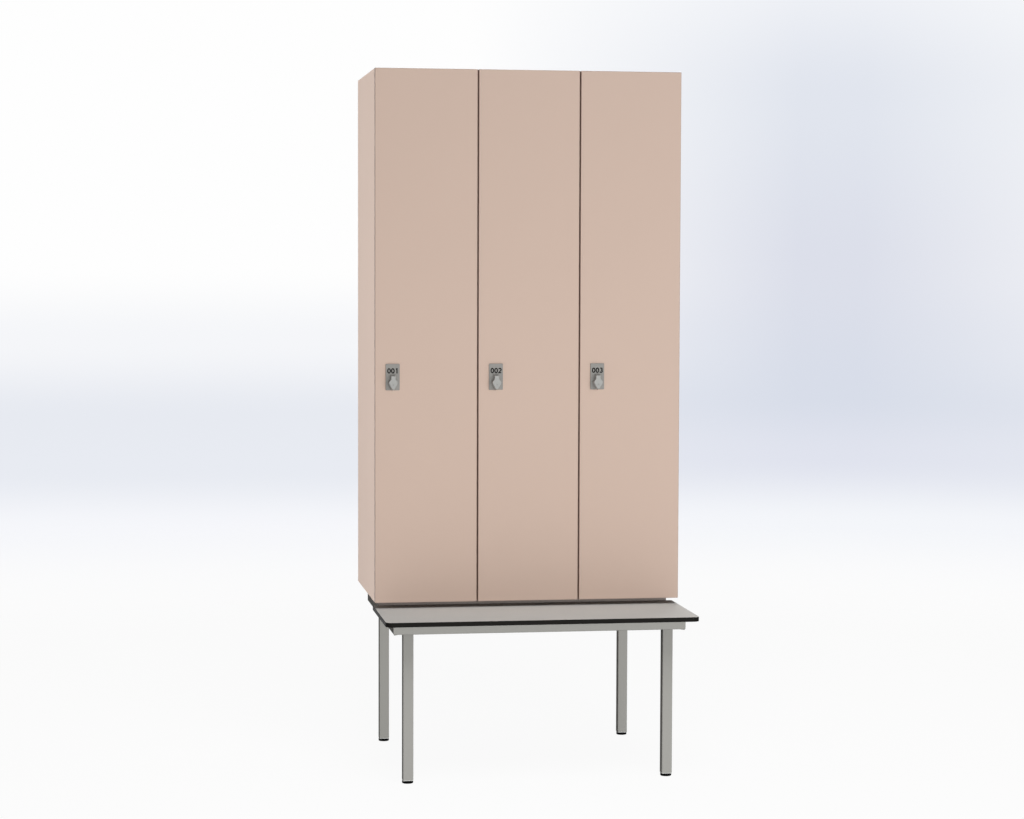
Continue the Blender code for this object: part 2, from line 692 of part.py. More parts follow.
def cup_mesh():
    """A hinge cup and its eared flange; origin on the door's rear face, mid-cup."""
    floor = FIT - CUP_DEPTH
    levels = [(CUP_RADIUS - CUP_WALL, floor), (CUP_RADIUS, floor + CUP_WALL),
              (CUP_RADIUS, FIT + CUP_FLANGE / 2)]
    cup = loft("hinge_cup", [[Vector((u, y, v)) for u, v in circle(radius)]
                             for radius, y in levels])
    bm = bmesh.new()
    extrude_outline(bm, [(u, FIT, v) for u, v in cup_flange_outline()], (0, CUP_FLANGE, 0))
    flange = mesh_from(bm, "cup_flange")
    hollow = rod("cup_hollow", CUP_RADIUS - CUP_WALL, floor + CUP_WALL, 2 * CUP_DEPTH)
    return cut_and_join(cup, joined=[flange], cut=[hollow])


def arm_mesh(overlay):
    """A hinge arm and its mounting plate, on a wall at X = 0 with the locker at -X.

    Its nose, the folded links, reaches to the cup's floor when the door is shut. It is
    cranked where the door laps less of the wall.
    """
    nose_tip = DOOR + FIT - CUP_DEPTH + CUP_WALL + FIT
    nose_root = DOOR + FIT + CUP_FLANGE + FIT
    low = ARM_BASE
    high = low + ARM_HEIGHT
    nose_low = max(CUP_FROM_EDGE + NOSE_INSET - overlay - ARM_NOSE_HEIGHT / 2, low)
    nose_high = nose_low + ARM_NOSE_HEIGHT
    bend_start = nose_root + ARM_NOSE_LENGTH
    bend_end = bend_start + ARM_CRANK_LENGTH
    tail = nose_root + ARM_LENGTH
    outline = [(nose_tip, nose_low), (bend_start, nose_low), (bend_end, low), (tail, low),
               (tail, high - ARM_TAIL_CHAMFER), (tail - ARM_TAIL_CHAMFER, high), (bend_end, high),
               (bend_start, nose_high), (nose_tip, nose_high)]
    bm = bmesh.new()
    extrude_outline(bm, [(-x, y, -ARM_WIDTH / 2) for y, x in outline], (0, 0, ARM_WIDTH))
    ease_rims(bm, Vector((0, 0, 1)), (-ARM_WIDTH / 2, ARM_WIDTH / 2), ARM_ROUNDING, 1)
    arm = mesh_from(bm, "hinge_arm")
    wing_y = CARCASS_FRONT - DOOR_FRONT + WING_DISTANCE
    base_front = wing_y - WING_WIDTH
    base = box("arm_base", (-ARM_BASE - FIT, base_front, -ARM_BASE_WIDTH / 2),
               (-FIT, tail - ARM_TAIL_CHAMFER, ARM_BASE_WIDTH / 2), STAMPED_EDGE)
    wings = box("arm_wings", (-ARM_BASE, wing_y - WING_WIDTH / 2, -WING_SPAN / 2),
                (-FIT, wing_y + WING_WIDTH / 2, WING_SPAN / 2), STAMPED_EDGE)
    return cut_and_join(arm, joined=[base, wings])


def make_hinges(doors, zinc):
    """The cups in each door's rear face and the arms on the wall behind them."""
    cup = cup_mesh()
    arms = {}
    for column, door in enumerate(doors):
        _, edge = door_edges(column)
        _, wall = column_walls(column)
        overlay = round(edge - wall, 6)
        if overlay not in arms:
            arms[overlay] = arm_mesh(overlay)
        for place_name, level in hinge_levels().items():
            tail = f"_{column + 1}_{place_name}"
            place("hinge_cup" + tail, cup, zinc, (edge - CUP_FROM_EDGE, DOOR_BACK, level), door)
            place("hinge_arm" + tail, arms[overlay], zinc, (wall, DOOR_FRONT, level))


def build():
    """Makes every piece of the locker with bench."""
    clear_scene()
    board = finish("blush laminate board", (0.61, 0.47, 0.39), 0.45)
    back_board = finish("blush backing board", (0.60, 0.46, 0.38), 0.6)
    seat = finish("grey compact laminate", (0.45, 0.43, 0.40), 0.4)
    coated = finish("silver-grey powder coat", (0.36, 0.36, 0.35), 0.45, 0.3)
    plastic = finish("black moulded plastic", (0.02, 0.02, 0.02), 0.5)
    die_cast = finish("satin die-cast metal", (0.33, 0.33, 0.32), 0.35, 0.8)
    grip = finish("pale grey knob", (0.45, 0.45, 0.44), 0.35, 0.3)
    zinc = finish("bright zinc-plated steel", (0.55, 0.55, 0.56), 0.3, 0.9)
    make_underframe(coated)
    make_feet(plastic)
    make_bench_board(seat)
    make_plinth(board)
    make_carcass(board, back_board)
    make_interiors(board, zinc)
    doors = [make_door(column, board) for column in range(COLUMNS)]
    make_locks(doors, zinc, die_cast, grip)
    make_hinges(doors, zinc)


build()
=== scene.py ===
"""Finishes, fittings and stage for a cabinet of three tall lockers on a bench.

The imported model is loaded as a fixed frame. Each operator finishes one kind of piece,
and the panel lists them all. Metres, +Z up; -Y is the side a person sits on.
"""
import json
from math import cos, pi, radians, sin

import bmesh
import bpy
from bpy.props import FloatProperty, FloatVectorProperty, IntProperty, PointerProperty
from bpy.types import Operator, Panel, PropertyGroup
from mathutils import Matrix, Vector

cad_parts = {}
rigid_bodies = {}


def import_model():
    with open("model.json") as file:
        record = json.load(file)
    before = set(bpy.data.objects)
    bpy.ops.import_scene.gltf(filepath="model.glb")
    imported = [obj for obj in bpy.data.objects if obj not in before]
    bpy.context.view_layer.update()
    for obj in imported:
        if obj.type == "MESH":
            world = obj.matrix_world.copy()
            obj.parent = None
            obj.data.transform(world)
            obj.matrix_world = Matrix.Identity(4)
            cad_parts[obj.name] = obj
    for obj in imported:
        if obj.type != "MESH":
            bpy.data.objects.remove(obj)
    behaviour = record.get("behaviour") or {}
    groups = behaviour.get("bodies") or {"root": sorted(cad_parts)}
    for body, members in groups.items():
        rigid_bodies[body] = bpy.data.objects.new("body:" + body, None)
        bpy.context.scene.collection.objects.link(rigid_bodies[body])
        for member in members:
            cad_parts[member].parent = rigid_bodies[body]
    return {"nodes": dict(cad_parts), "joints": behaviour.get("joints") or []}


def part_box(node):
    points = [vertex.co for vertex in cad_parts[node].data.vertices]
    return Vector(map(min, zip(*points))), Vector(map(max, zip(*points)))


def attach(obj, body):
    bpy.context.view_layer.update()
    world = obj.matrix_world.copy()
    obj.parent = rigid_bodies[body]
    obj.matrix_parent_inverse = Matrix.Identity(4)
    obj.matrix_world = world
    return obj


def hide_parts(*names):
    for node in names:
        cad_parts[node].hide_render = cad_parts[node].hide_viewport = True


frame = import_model()

bl_info = {
    "name": "Locker with Bench",
    "version": (1, 0, 0),
    "blender": (4, 5, 0),
    "location": "3D View > Sidebar > Locker",
    "description": "Finishes the boards, metalwork, locks and hinges of a locker with a bench",
    "category": "Object",
}

CARCASS = "bench_and_cabinet"
COLUMNS = (1, 2, 3)
HINGE_PLACES = ("bottom", "middle", "top")
CORNERS = ("front_left", "front_right", "rear_left", "rear_right")
AXES = {joint["name"]: Vector(joint["pos_m"]) for joint in frame["joints"]}

X = Vector((1, 0, 0))
Y = Vector((0, 1, 0))
Z = Vector((0, 0, 1))

MERGE = 1e-5  # Points closer than this are one
FLAT = 0.999  # A face this square to an axis lies flat on it
HEAD_SHARE = 0.45  # A screw head's height, as a share of its radius
HAIR = 0.0001  # Gap that keeps two faces of a piece apart
EDGE = 0.0002  # Chamfer of the smallest turned parts
SMALL_SIDES = 24  # Faces round spindles, washers and keyways
HEAD_SIDES = 20  # Faces round screw heads, their holes and shelf pins
RIVET_SIDES = 16
BEAD_SIDES = 8
NUT_SIDES = 6
LOOSE_ANGLE = radians(0.5)  # Triangles that meet this flatly are one face
SMOOTH_ANGLE = radians(50)  # Boards, beads and numbers are smooth up to here
ROUND_ANGLE = radians(35)  # Turned and pressed pieces are smooth up to here

# Photograph's frame, from which the lens is worked out
FRAME_WIDTH = 1024
FOCAL_PIXELS = 2498.1
SENSOR = 36.0


def linear(red, green, blue):
    """A display colour, 0 to 255, as the linear numbers that a shader takes."""
    shares = [value / 255 for value in (red, green, blue)]
    return tuple(share / 12.92 if share <= 0.04045 else ((share + 0.055) / 1.055) ** 2.4
                 for share in shares)


def colour(name, description, *display):
    """A colour property with a display colour as its default."""
    return FloatVectorProperty(name=name, description=description, subtype="COLOR", size=3,
                               min=0.0, max=1.0, default=linear(*display))


def measure(name, description, default, unit="LENGTH", low=0.0):
    """A property with a unit, metres unless another is given."""
    return FloatProperty(name=name, description=description, unit=unit, default=default,
                         min=low, precision=5)


class LockerFinishes(PropertyGroup):
    """Colours of the boards, the metalwork and the plastic."""

    laminate: colour("Laminate", "Blush facing of the doors and panels", 206, 182, 167)
    band: colour("Edge band", "Plastic band along the edges of the panels", 202, 178, 163)
    # Painted shade: the doors' bands are a darker tone than the panels' bands, standing in for the
    # shade at the doors' edges and in the gap beside them
    door_band: colour("Door band", "Darker plastic band round the doors", 188, 163, 150)
    seam: colour("Seam", "Glue line between facing and edge band", 150, 127, 114)
    # Painted shade: this dark colour stands in for the deep shade in the recess under the cabinet
    plinth: colour("Plinth", "Dark recessed plinth under the cabinet", 118, 110, 105)
    backing: colour("Back panel", "Thin board at the back of the cabinet", 203, 181, 168)
    chips: colour("Chipboard", "Raw core of the boards, seen in bores and rebates", 178, 145, 104)
    seat: colour("Seat", "Decor face of the compact seat board", 203, 202, 199)
    core: colour("Seat core", "Black core of the seat board", 31, 30, 28)
    coating: colour("Powder coat", "Silver-grey coating of the steel frame", 173, 172, 167)
    glide: colour("Glide", "Black plastic of the feet", 5, 5, 6)
    collar: colour("Collar", "Pale plastic collar above each glide", 208, 208, 205)
    plate: colour("Lock plate", "Satin grey casting behind the knob", 141, 139, 135)
    knob: colour("Knob", "Pale grey turn knob", 163, 163, 160)
    number: colour("Number", "Print on the lock plates", 16, 15, 15)
    zinc: colour("Zinc", "Bright plating of hinges, cams and screws", 190, 192, 196)
    chrome: colour("Coat rail", "Bright plating of the coat rails", 214, 215, 218)


class LockerDetails(PropertyGroup):
    """Sizes of the small work that the boards, the numbers and the fittings show."""

    board_ease: measure("Board ease", "Rounding along the edges of the panels", 0.001)
    door_ease: measure("Door ease", "Rounding along the edges of the doors", 0.0012)
    seam_width: measure("Seam width", "Glue line between facing and edge band", 0.00018)
    number_height: measure("Number height", "Height of the digits", 0.0158)
    digit_width: measure("Digit width", "Width of a digit", 0.0108)
    digit_pitch: measure("Digit pitch", "Distance from digit to digit", 0.0112)
    digit_stroke: measure("Digit stroke", "Width of the digits' strokes", 0.0034)
    screw_radius: measure("Screw head", "Radius of the screws' heads", 0.0036)
    round_sides: IntProperty(name="Round sides", default=48, min=12, max=96,
                             description="Faces round the turned pieces")


class LockerStage(PropertyGroup):
    """Floor, backdrop, lamps and camera."""

    floor_radius: measure("Floor radius", "Radius at which the floor has faded out", 7.0)
    floor_solid: measure("Solid floor", "Radius at which the floor starts to fade", 3.0)
    floor_colour: colour("Floor", "Plain pale floor", 255, 255, 255)
    floor_lift: measure("Floor lift", "Floor's share that shows white in any light", 0.94, "NONE")
    floor_bounce: measure("Floor bounce", "Light's share that the floor throws up", 0.30, "NONE")
    ambient: measure("Ambient", "Light that comes evenly from all round", 0.23, "NONE")
    fill_power: measure("Fill lamp", "Wide lamp in front, on the right", 150.0, "POWER")
    key_power: measure("Key lamp", "Large soft lamp behind the camera", 284.0, "POWER")
    under_power: measure("Floor light", "Light from the floor to the cabinet", 75.0, "POWER")
    low_power: measure("Low lamp", "Low wide lamp in front, for the legs", 1430.0, "POWER")
    deep_power: measure("Deep lamp", "Low lamp, for rear legs and front rail", 330.0, "POWER")
    top_power: measure("Top lamp", "Soft lamp above the seat", 109.0, "POWER")
    back_power: measure("Back lamp", "Soft lamp behind, for back and top", 150.0, "POWER")
    side_power: measure("Side lamp", "Soft lamp on the left, for the side", 108.0, "POWER")
    camera_place: FloatVectorProperty(name="Camera", description="Where the camera stands",
                                      default=(-1.186, -7.296, 1.469), unit="LENGTH",
                                      subtype="TRANSLATION")
    yaw: measure("Yaw", "Camera's turn from +Y towards +X", radians(8.993), "ROTATION", -pi)
    pitch: measure("Pitch", "Camera's tilt below the horizon", radians(3.279), "ROTATION", -pi)
    roll: measure("Roll", "Camera's lean", radians(0.181), "ROTATION", -pi)


# Finishes

def new_shader(name, shine, metallic=0.0, roughness=0.5):
    """A new material: its node tree, Principled shader and object coordinates."""
    material = bpy.data.materials.new(name)
    material.use_nodes = True
    tree = material.node_tree
    shader = tree.nodes["Principled BSDF"]
    shader.inputs["Metallic"].default_value = metallic
    shader.inputs["Roughness"].default_value = roughness
    shader.inputs["Specular IOR Level"].default_value = shine
    return material, tree, shader, tree.nodes.new("ShaderNodeTexCoord").outputs["Object"]


def noise(tree, place, size, detail=2.0, stretch=(1, 1, 1)):
    """Soft noise whose lumps have about the given size, stretched along the axes."""
    mapping = tree.nodes.new("ShaderNodeMapping")
    mapping.inputs["Scale"].default_value = [1 / value for value in stretch]
    texture = tree.nodes.new("ShaderNodeTexNoise")
    texture.inputs["Scale"].default_value = 1 / size
    texture.inputs["Detail"].default_value = detail
    tree.links.new(place, mapping.inputs["Vector"])
    tree.links.new(mapping.outputs["Vector"], texture.inputs["Vector"])
    return texture.outputs["Fac"]


def cells(tree, place, density):
    """Cells with a random colour each: red and green, and the distance from the middle."""
    texture = tree.nodes.new("ShaderNodeTexVoronoi")
    texture.inputs["Scale"].default_value = density
    tree.links.new(place, texture.inputs["Vector"])
    parts = tree.nodes.new("ShaderNodeSeparateColor")
    tree.links.new(texture.outputs["Color"], parts.inputs["Color"])
    return parts.outputs["Red"], parts.outputs["Green"], texture.outputs["Distance"]


def spread(tree, value, low=0.0, high=1.0, start=0.3, end=0.7):
    """A value turned from the range start to end into the range low to high."""
    step = tree.nodes.new("ShaderNodeMapRange")
    for name, limit in (("From Min", start), ("From Max", end), ("To Min", low), ("To Max", high)):
        step.inputs[name].default_value = limit
    tree.links.new(value, step.inputs["Value"])
    return step.outputs["Result"]


def feed(tree, sockets, values):
    """Gives each socket its value, which may be another socket, a number or a colour."""
    for socket, value in zip(sockets, values):
        if isinstance(value, bpy.types.NodeSocket):
            tree.links.new(value, socket)
        else:
            socket.default_value = (*value, 1.0) if isinstance(value, tuple) else value


def blend_colours(tree, factor, first, second):
    """A colour between two."""
    mix = tree.nodes.new("ShaderNodeMix")
    mix.data_type = "RGBA"
    feed(tree, (mix.inputs["Factor"], mix.inputs["A"], mix.inputs["B"]), (factor, first, second))
    return mix.outputs["Result"]


def shaded(tint, share):
    """A colour made lighter or darker by a share."""
    return tuple(min(1.0, value * (1 + share)) for value in tint)


def dress(tree, shader, tone, grain, relief, gloss=None):
    """Gives a shader its tone, and from a grain its gloss and its relief."""
    tree.links.new(tone, shader.inputs["Base Color"])
    if gloss:
        tree.links.new(spread(tree, grain, *gloss), shader.inputs["Roughness"])
    bump = tree.nodes.new("ShaderNodeBump")
    bump.inputs["Strength"].default_value, bump.inputs["Distance"].default_value = relief
    tree.links.new(grain, bump.inputs["Height"])
    tree.links.new(bump.outputs["Normal"], shader.inputs["Normal"])


def mottled(name, tint, shade, patch, grain, gloss, relief, shine, metallic=0.0,
            stretch=(1, 1, 1)):
    """A finish whose tone drifts by its shade over patches, with a grain in gloss and relief."""
    material, tree, shader, place = new_shader(name, shine, metallic)
    patches = spread(tree, noise(tree, place, patch, 3.0))
    fine = noise(tree, place, grain, 2.0, stretch)
    tone = blend_colours(tree, patches, shaded(tint, -shade), shaded(tint, shade))
    speck = blend_colours(tree, spread(tree, fine), shaded(tint, -shade), tone)
    dress(tree, shader, speck, fine, relief, gloss)
    return material


def laminate(name, tint):
    """Matt decor paper under resin: fine pores, and a gloss that drifts over the sheet."""
    return mottled(name, tint, 0.010, 0.22, 0.0009, (0.46, 0.54), (0.10, 0.00012), 0.25)


def edge_band(name, tint):
    """Extruded plastic band, a touch glossier than the facing, drawn along its length."""
    return mottled(name, tint, 0.012, 0.08, 0.0007, (0.36, 0.46), (0.06, 0.0001), 0.30)


def glue_line(name, tint):
    """The hairline where band and facing meet."""
    return mottled(name, tint, 0.06, 0.02, 0.0008, (0.55, 0.65), (0.1, 0.0001), 0.20)


def backing(name, tint):
    """Thin painted board, flatter and rougher than the laminate."""
    return mottled(name, tint, 0.018, 0.12, 0.0014, (0.56, 0.66), (0.16, 0.00016), 0.20)


def moulded_plastic(name, tint):
    """Injection-moulded plastic with a fine spark-eroded texture."""
    return mottled(name, tint, 0.06, 0.010, 0.0006, (0.40, 0.55), (0.25, 0.00012), 0.03)


def die_cast(name, tint):
    """Satin casting: tumbled smooth, with faint clouds in its gloss."""
    return mottled(name, tint, 0.020, 0.006, 0.0005, (0.34, 0.44), (0.12, 0.00008), 0.15, 0.1)


def print_ink(name, tint):
    """Pad-printed ink, slightly uneven."""
    return mottled(name, tint, 0.12, 0.002, 0.0003, (0.5, 0.6), (0.1, 0.00003), 0.05)


def bright_zinc(name, tint):
    """Zinc plate with a soft spangle and drawing marks along the sheet."""
    return mottled(name, tint, 0.03, 0.012, 0.004, (0.28, 0.34), (0.02, 0.00002), 0.5,
                   1.0, (1, 4, 1))


def bright_chrome(name, tint):
    """Plated tube, polished along its length."""
    return mottled(name, tint, 0.015, 0.05, 0.0006, (0.10, 0.18), (0.04, 0.00004), 0.5,
                   1.0, (14, 1, 1))


def chipboard(name, tint):
    """Raw chips of many tones pressed together."""
    material, tree, shader, place = new_shader(name, 0.2, roughness=0.85)
    chips, _, edges = cells(tree, place, 760.0)
    tone = blend_colours(tree, chips, shaded(tint, -0.34), shaded(tint, 0.22))
    dress(tree, shader, tone, edges, (0.5, 0.0006))
    return material


def powder_coat(name, tint):
    """Silver-grey powder coat: orange-peel skin with fine flakes in it."""
    material, tree, shader, place = new_shader(name, 0.0)
    _, flakes, _ = cells(tree, place, 2200.0)
    tone = blend_colours(tree, flakes, shaded(tint, -0.07), shaded(tint, 0.07))
    dress(tree, shader, tone, noise(tree, place, 0.0022, 1.0), (0.18, 0.0002), (0.38, 0.48))
    return material


def seat_decor(name, tint):
    """Warm grey matt decor with a close pearl texture that hides scuffs."""
    material, tree, shader, place = new_shader(name, 0.0)
    pearl = noise(tree, place, 0.0016, 3.0)
    drift = spread(tree, noise(tree, place, 0.15))
    tone = blend_colours(tree, drift, shaded(tint, -0.012), shaded(tint, 0.012))
    fleck = spread(tree, pearl, start=0.35, end=0.6)
    tone = blend_colours(tree, fleck, shaded(tint, -0.035), tone)
    dress(tree, shader, tone, pearl, (0.22, 0.0002), (0.36, 0.50))
    return material


def layered_core(name, tint):
    """Black resin-soaked paper in thin layers, polished where it was milled."""
    material, tree, shader, place = new_shader(name, 0.012)
    layers = noise(tree, place, 0.00045, 1.0, (400, 400, 1))
    tone = blend_colours(tree, spread(tree, layers), shaded(tint, -0.35), shaded(tint, 0.35))
    dress(tree, shader, tone, layers, (0.15, 0.0001), (0.34, 0.46))
    return material


FINISHES = {
    "laminate": ("blush laminate", laminate),
    "band": ("blush edge band", edge_band),
    # The door band's darker tone is painted shade at the doors' edges
    "door_band": ("blush door band", edge_band),
    "seam": ("glue line", glue_line),
    # The plinth's darkness is painted shade of the recess under the cabinet
    "plinth": ("dark plinth board", backing),
    "backing": ("blush backing board", backing),
    "chips": ("raw chipboard", chipboard),
    "seat": ("grey seat decor", seat_decor),
    "core": ("black layered core", layered_core),
    "coating": ("silver-grey powder coat", powder_coat),
    "glide": ("black glide plastic", moulded_plastic),
    "collar": ("pale collar plastic", moulded_plastic),
    "plate": ("satin grey casting", die_cast),
    "knob": ("pale grey casting", die_cast),
    "number": ("dark plate print", print_ink),
    "zinc": ("bright zinc plate", bright_zinc),
    "chrome": ("bright coat rail plating", bright_chrome),
}


def finishes(context, *names):
    """The finishes of these names, each made when a piece first asks for it."""
    chosen = []
    for name in names:
        title, make = FINISHES[name]
        tint = tuple(getattr(context.scene.locker_finishes, name))
        chosen.append(bpy.data.materials.get(title) or make(title, tint))
    return chosen


# Mesh work

def to_mesh(bm, name="work"):
    """A bmesh as a mesh, its slots kept."""
    mesh = bpy.data.meshes.new(name)
    bm.to_mesh(mesh)
    bm.free()
    return mesh


def add_piece(name, bm, materials, body, slot, *nodes, angle=ROUND_ANGLE):
    """A finished piece: rides on its body and stands for CAD nodes."""
    mesh = to_mesh(bm, name)
    slots = [polygon.material_index for polygon in mesh.polygons]
    for material in materials:
        mesh.materials.append(material)
    mesh.polygons.foreach_set("material_index", slots)
    mesh.shade_smooth()
    mesh.set_sharp_from_angle(angle=angle)
    piece = bpy.data.objects.new(name, mesh)
    bpy.context.scene.collection.objects.link(piece)
    flat = piece.modifiers.new("level faces", "WEIGHTED_NORMAL")
    flat.keep_sharp = True
    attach(piece, body)
    if nodes:
        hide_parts(*nodes)


def cad_shape(node):
    """A node's shape, its loose triangles merged into whole faces."""
    bm = bmesh.new()
    bm.from_mesh(frame["nodes"][node].data)
    bmesh.ops.remove_doubles(bm, verts=bm.verts, dist=MERGE)
    bmesh.ops.dissolve_limit(bm, angle_limit=LOOSE_ANGLE, verts=bm.verts, edges=bm.edges)
    for face in bm.faces:
        face.material_index = 0
    return bm


def block(low, high):
    """A plain block between two corners."""
    low, high = Vector(low), Vector(high)
    bm = bmesh.new()
    bmesh.ops.create_cube(bm, size=1.0)
    bmesh.ops.scale(bm, vec=high - low, verts=bm.verts)
    bmesh.ops.translate(bm, vec=(low + high) / 2, verts=bm.verts)
    return bm


def edges_where(bm, test):
    """The edges whose two ends pass a test."""
    return [edge for edge in bm.edges if test(edge.verts[0].co, edge.verts[1].co)]


def ease(bm, edges, width, segments=3):
    """Rounds some edges."""
    bmesh.ops.bevel(bm, geom=list(edges), offset=width, segments=segments, profile=0.5,
                    affect="EDGES", material=-1)


def band_edges(bm, axis, seam):
    """Gives a board its facing, slot 0, edge bands, slot 1, and the seam between, slot 2."""
    for face in bm.faces:
        face.material_index = 1
    faced = [face for face in bm.faces if abs(face.normal.dot(axis)) > FLAT]
    rims = bmesh.ops.inset_individual(bm, faces=faced, thickness=seam, depth=0.0)["faces"]
    for faces, slot in ((faced, 0), (rims, 2)):
        for face in faces:
            face.material_index = slot


def at(place, direction=Z):
    """The place of a shape made about the origin, its +Z turned to a direction."""
    return Matrix.Translation(place) @ Z.rotation_difference(direction).to_matrix().to_4x4()


def stamp(bm, shape, place=(0, 0, 0), direction=Z, slot=0):
    """Adds a bmesh, or a copy of a mesh, to a piece at a place, in a material slot."""
    mesh = to_mesh(shape) if isinstance(shape, bmesh.types.BMesh) else shape.copy()
    mesh.transform(at(place, direction))
    for polygon in mesh.polygons:
        polygon.material_index = slot
    bm.from_mesh(mesh)
    bpy.data.meshes.remove(mesh)


def turned(profile, sides):
    """A closed shape turned about the Z axis from (radius, height) points."""
    bm = bmesh.new()
    verts = [bm.verts.new((radius, 0.0, height)) for radius, height in profile]
    edges = [bm.edges.new(pair) for pair in zip(verts, verts[1:])]
    bmesh.ops.spin(bm, geom=verts + edges, cent=(0, 0, 0), axis=Z, angle=2 * pi, steps=sides,
                   use_merge=True, use_duplicate=False)
    bmesh.ops.remove_doubles(bm, verts=bm.verts, dist=MERGE)
    bmesh.ops.recalc_face_normals(bm, faces=bm.faces)
    return bm


def cut(bm, tools):
    """The shape with other shapes cut from it."""
    meshes = [to_mesh(shape) for shape in (bm, *tools)]
    work, *helpers = [bpy.data.objects.new("work", mesh) for mesh in meshes]
    for piece in (work, *helpers):
        bpy.context.scene.collection.objects.link(piece)
    for helper in helpers:
        step = work.modifiers.new("cut", "BOOLEAN")
        step.operation, step.solver, step.object = "DIFFERENCE", "MANIFOLD", helper
    result = bmesh.new()
    result.from_object(work, bpy.context.evaluated_depsgraph_get())
    for mesh in meshes:
        bpy.data.meshes.remove(mesh)
    return result


def rod(radius, low, high, sides, chamfer=0.0, bore=0.0):
    """A round rod along Z, with a chamfered upper rim or a bore when they are given."""
    rim = [(radius, high - chamfer), (radius - chamfer, high)] if chamfer else [(radius, high)]
    close = [(bore, low)] if bore else []
    return turned([(bore, low), (radius, low), *rim, (bore, high), *close], sides)


def drill(radius, depth, mouth, axis, sides):
    """A cutting tool: a round bar that goes a depth in from its mouth."""
    bar = rod(radius, -depth, depth, sides)
    bmesh.ops.transform(bar, matrix=at(mouth, axis), verts=bar.verts)
    return bar


def sink(bm, face, place, radius, depth, sides):
    """Sinks a round blind hole into a flat face; the place's +Z points out of the hole."""
    turns = [2 * pi * step / sides for step in range(sides)]
    mouth, floor = ([bm.verts.new(place @ Vector((radius * cos(turn), radius * sin(turn), height)))
                     for turn in turns] for height in (0.0, -depth))
    rim = [bm.edges.new(pair) for pair in zip(mouth, mouth[1:] + mouth[:1])]
    border, normal = list(face.edges), face.normal.copy()
    bmesh.ops.delete(bm, geom=[face], context="FACES_ONLY")
    bmesh.ops.triangle_fill(bm, use_beauty=True, edges=border + rim, normal=normal)
    for index in range(sides):
        bm.faces.new((mouth[index - 1], mouth[index], floor[index], floor[index - 1]))
    bm.faces.new(floor)
    bmesh.ops.recalc_face_normals(bm, faces=bm.faces)


def screw_head(radius):
    """A pan head with a cross recess, facing +Z on the plane at zero."""
    height = radius * HEAD_SHARE
    profile = ((0, 0), (radius, 0), (radius, height * 0.35), (radius * 0.8, height * 0.8),
               (radius * 0.4, height), (0, height))
    arm, half, floor = radius * 0.62, radius * 0.13, height * 0.3
    bars = [block((-u, -v, floor), (u, v, 2 * height)) for u, v in ((arm, half), (half, arm))]
    return to_mesh(cut(turned(profile, HEAD_SIDES), bars))


# Cabinet

def board(context, node, axis, ease_width):
    """A panel in the place of a node, faced on both sides and banded round its edges."""
    bm = block(*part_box(node))
    ease(bm, bm.edges, ease_width)
    band_edges(bm, axis, context.scene.locker_details.seam_width)
    return bm


class LOCKER_OT_panels(Operator):
    """Sides, partitions, top, bottom, shelves and plinth, faced and banded"""

    bl_idname = "locker.panels"
    bl_label = "Panels"

    plinth_ease: measure("Plinth ease", "Rounding along the edges of the plinth", 0.0004)

    def execute(self, context):
        details = context.scene.locker_details
        materials = finishes(context, "laminate", "band", "seam", "chips")
        boards = {"partition_1": X, "partition_2": X, "top_panel": Z, "bottom_panel": Z,
                  "shelf_1": Z, "shelf_2": Z, "shelf_3": Z}
        for node, axis in boards.items():
            add_piece(node + "_board", board(context, node, axis, details.board_ease), materials,
                      CARCASS, "cabinet_board", node, angle=SMOOTH_ANGLE)
        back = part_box("back_panel")[0].y
        for node in ("left_side", "right_side"):
            low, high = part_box(node)
            bm = cad_shape(node)
            band_edges(bm, X, details.seam_width)
            for face in bm.faces:
                spot = face.calc_center_median()
                in_rebate = spot.y > back - details.board_ease and low.x < spot.x < high.x
                if in_rebate and abs(face.normal.z) < FLAT:
                    face.material_index = 3
            add_piece(node + "_board", bm, materials, CARCASS, "cabinet_board", node,
                      angle=SMOOTH_ANGLE)
        bm = cad_shape("plinth")
        ease(bm, bm.edges, self.plinth_ease, 2)
        # The plinth's dark finish is painted shade of the recess under the cabinet
        add_piece("plinth_frame", bm, finishes(context, "plinth"), CARCASS, "cabinet_board",
                  "plinth", angle=SMOOTH_ANGLE)
        return {"FINISHED"}


class LOCKER_OT_back_panel(Operator):
    """Back panel with its sunk screws"""

    bl_idname = "locker.back_panel"
    bl_label = "Back Panel"

    rows: IntProperty(name="Rows", description="Screws up each upright", default=7, min=2)
    inset: measure("Inset", "Screws' distance from the edge of the panel", 0.0045)
    half_board: measure("Half board", "From a partition's face to its middle", 0.009)
    sunk: measure("Sunk", "How deep the screws' heads lie below the surface", 0.0004)
    head: measure("Head", "Radius of the screws' heads", 0.00288)
    hole_floor: measure("Hole floor", "Radius of a screw's hole at its floor", 0.003024)
    hole_mouth: measure("Hole mouth", "Radius of a hole's cone as far out as it is deep", 0.0036)

    def execute(self, context):
        low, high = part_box("back_panel")
        head, depth = screw_head(self.head), self.sunk + self.head * HEAD_SHARE
        columns = (low.x + self.inset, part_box("partition_1")[0].x + self.half_board,
                   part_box("partition_2")[0].x + self.half_board, high.x - self.inset)
        step = (high.z - low.z - 4 * self.inset) / (self.rows - 1)
        places = [Vector((x, high.y, low.z + 2 * self.inset + row * step))
                  for x in columns for row in range(self.rows)]
        hole = ((0, -depth), (self.hole_floor, -depth), (self.hole_mouth, depth), (0, depth))
        holes = bmesh.new()
        for place in places:
            stamp(holes, turned(hole, HEAD_SIDES), place, Y)
        bm = cut(block(low, high), [holes])
        bmesh.ops.remove_doubles(bm, verts=bm.verts, dist=MERGE)
        for place in places:
            stamp(bm, head, place - Y * depth, Y, 1)
        add_piece("back_board", bm, finishes(context, "backing", "zinc"), CARCASS,
                  "backing_board", "back_panel")
        return {"FINISHED"}


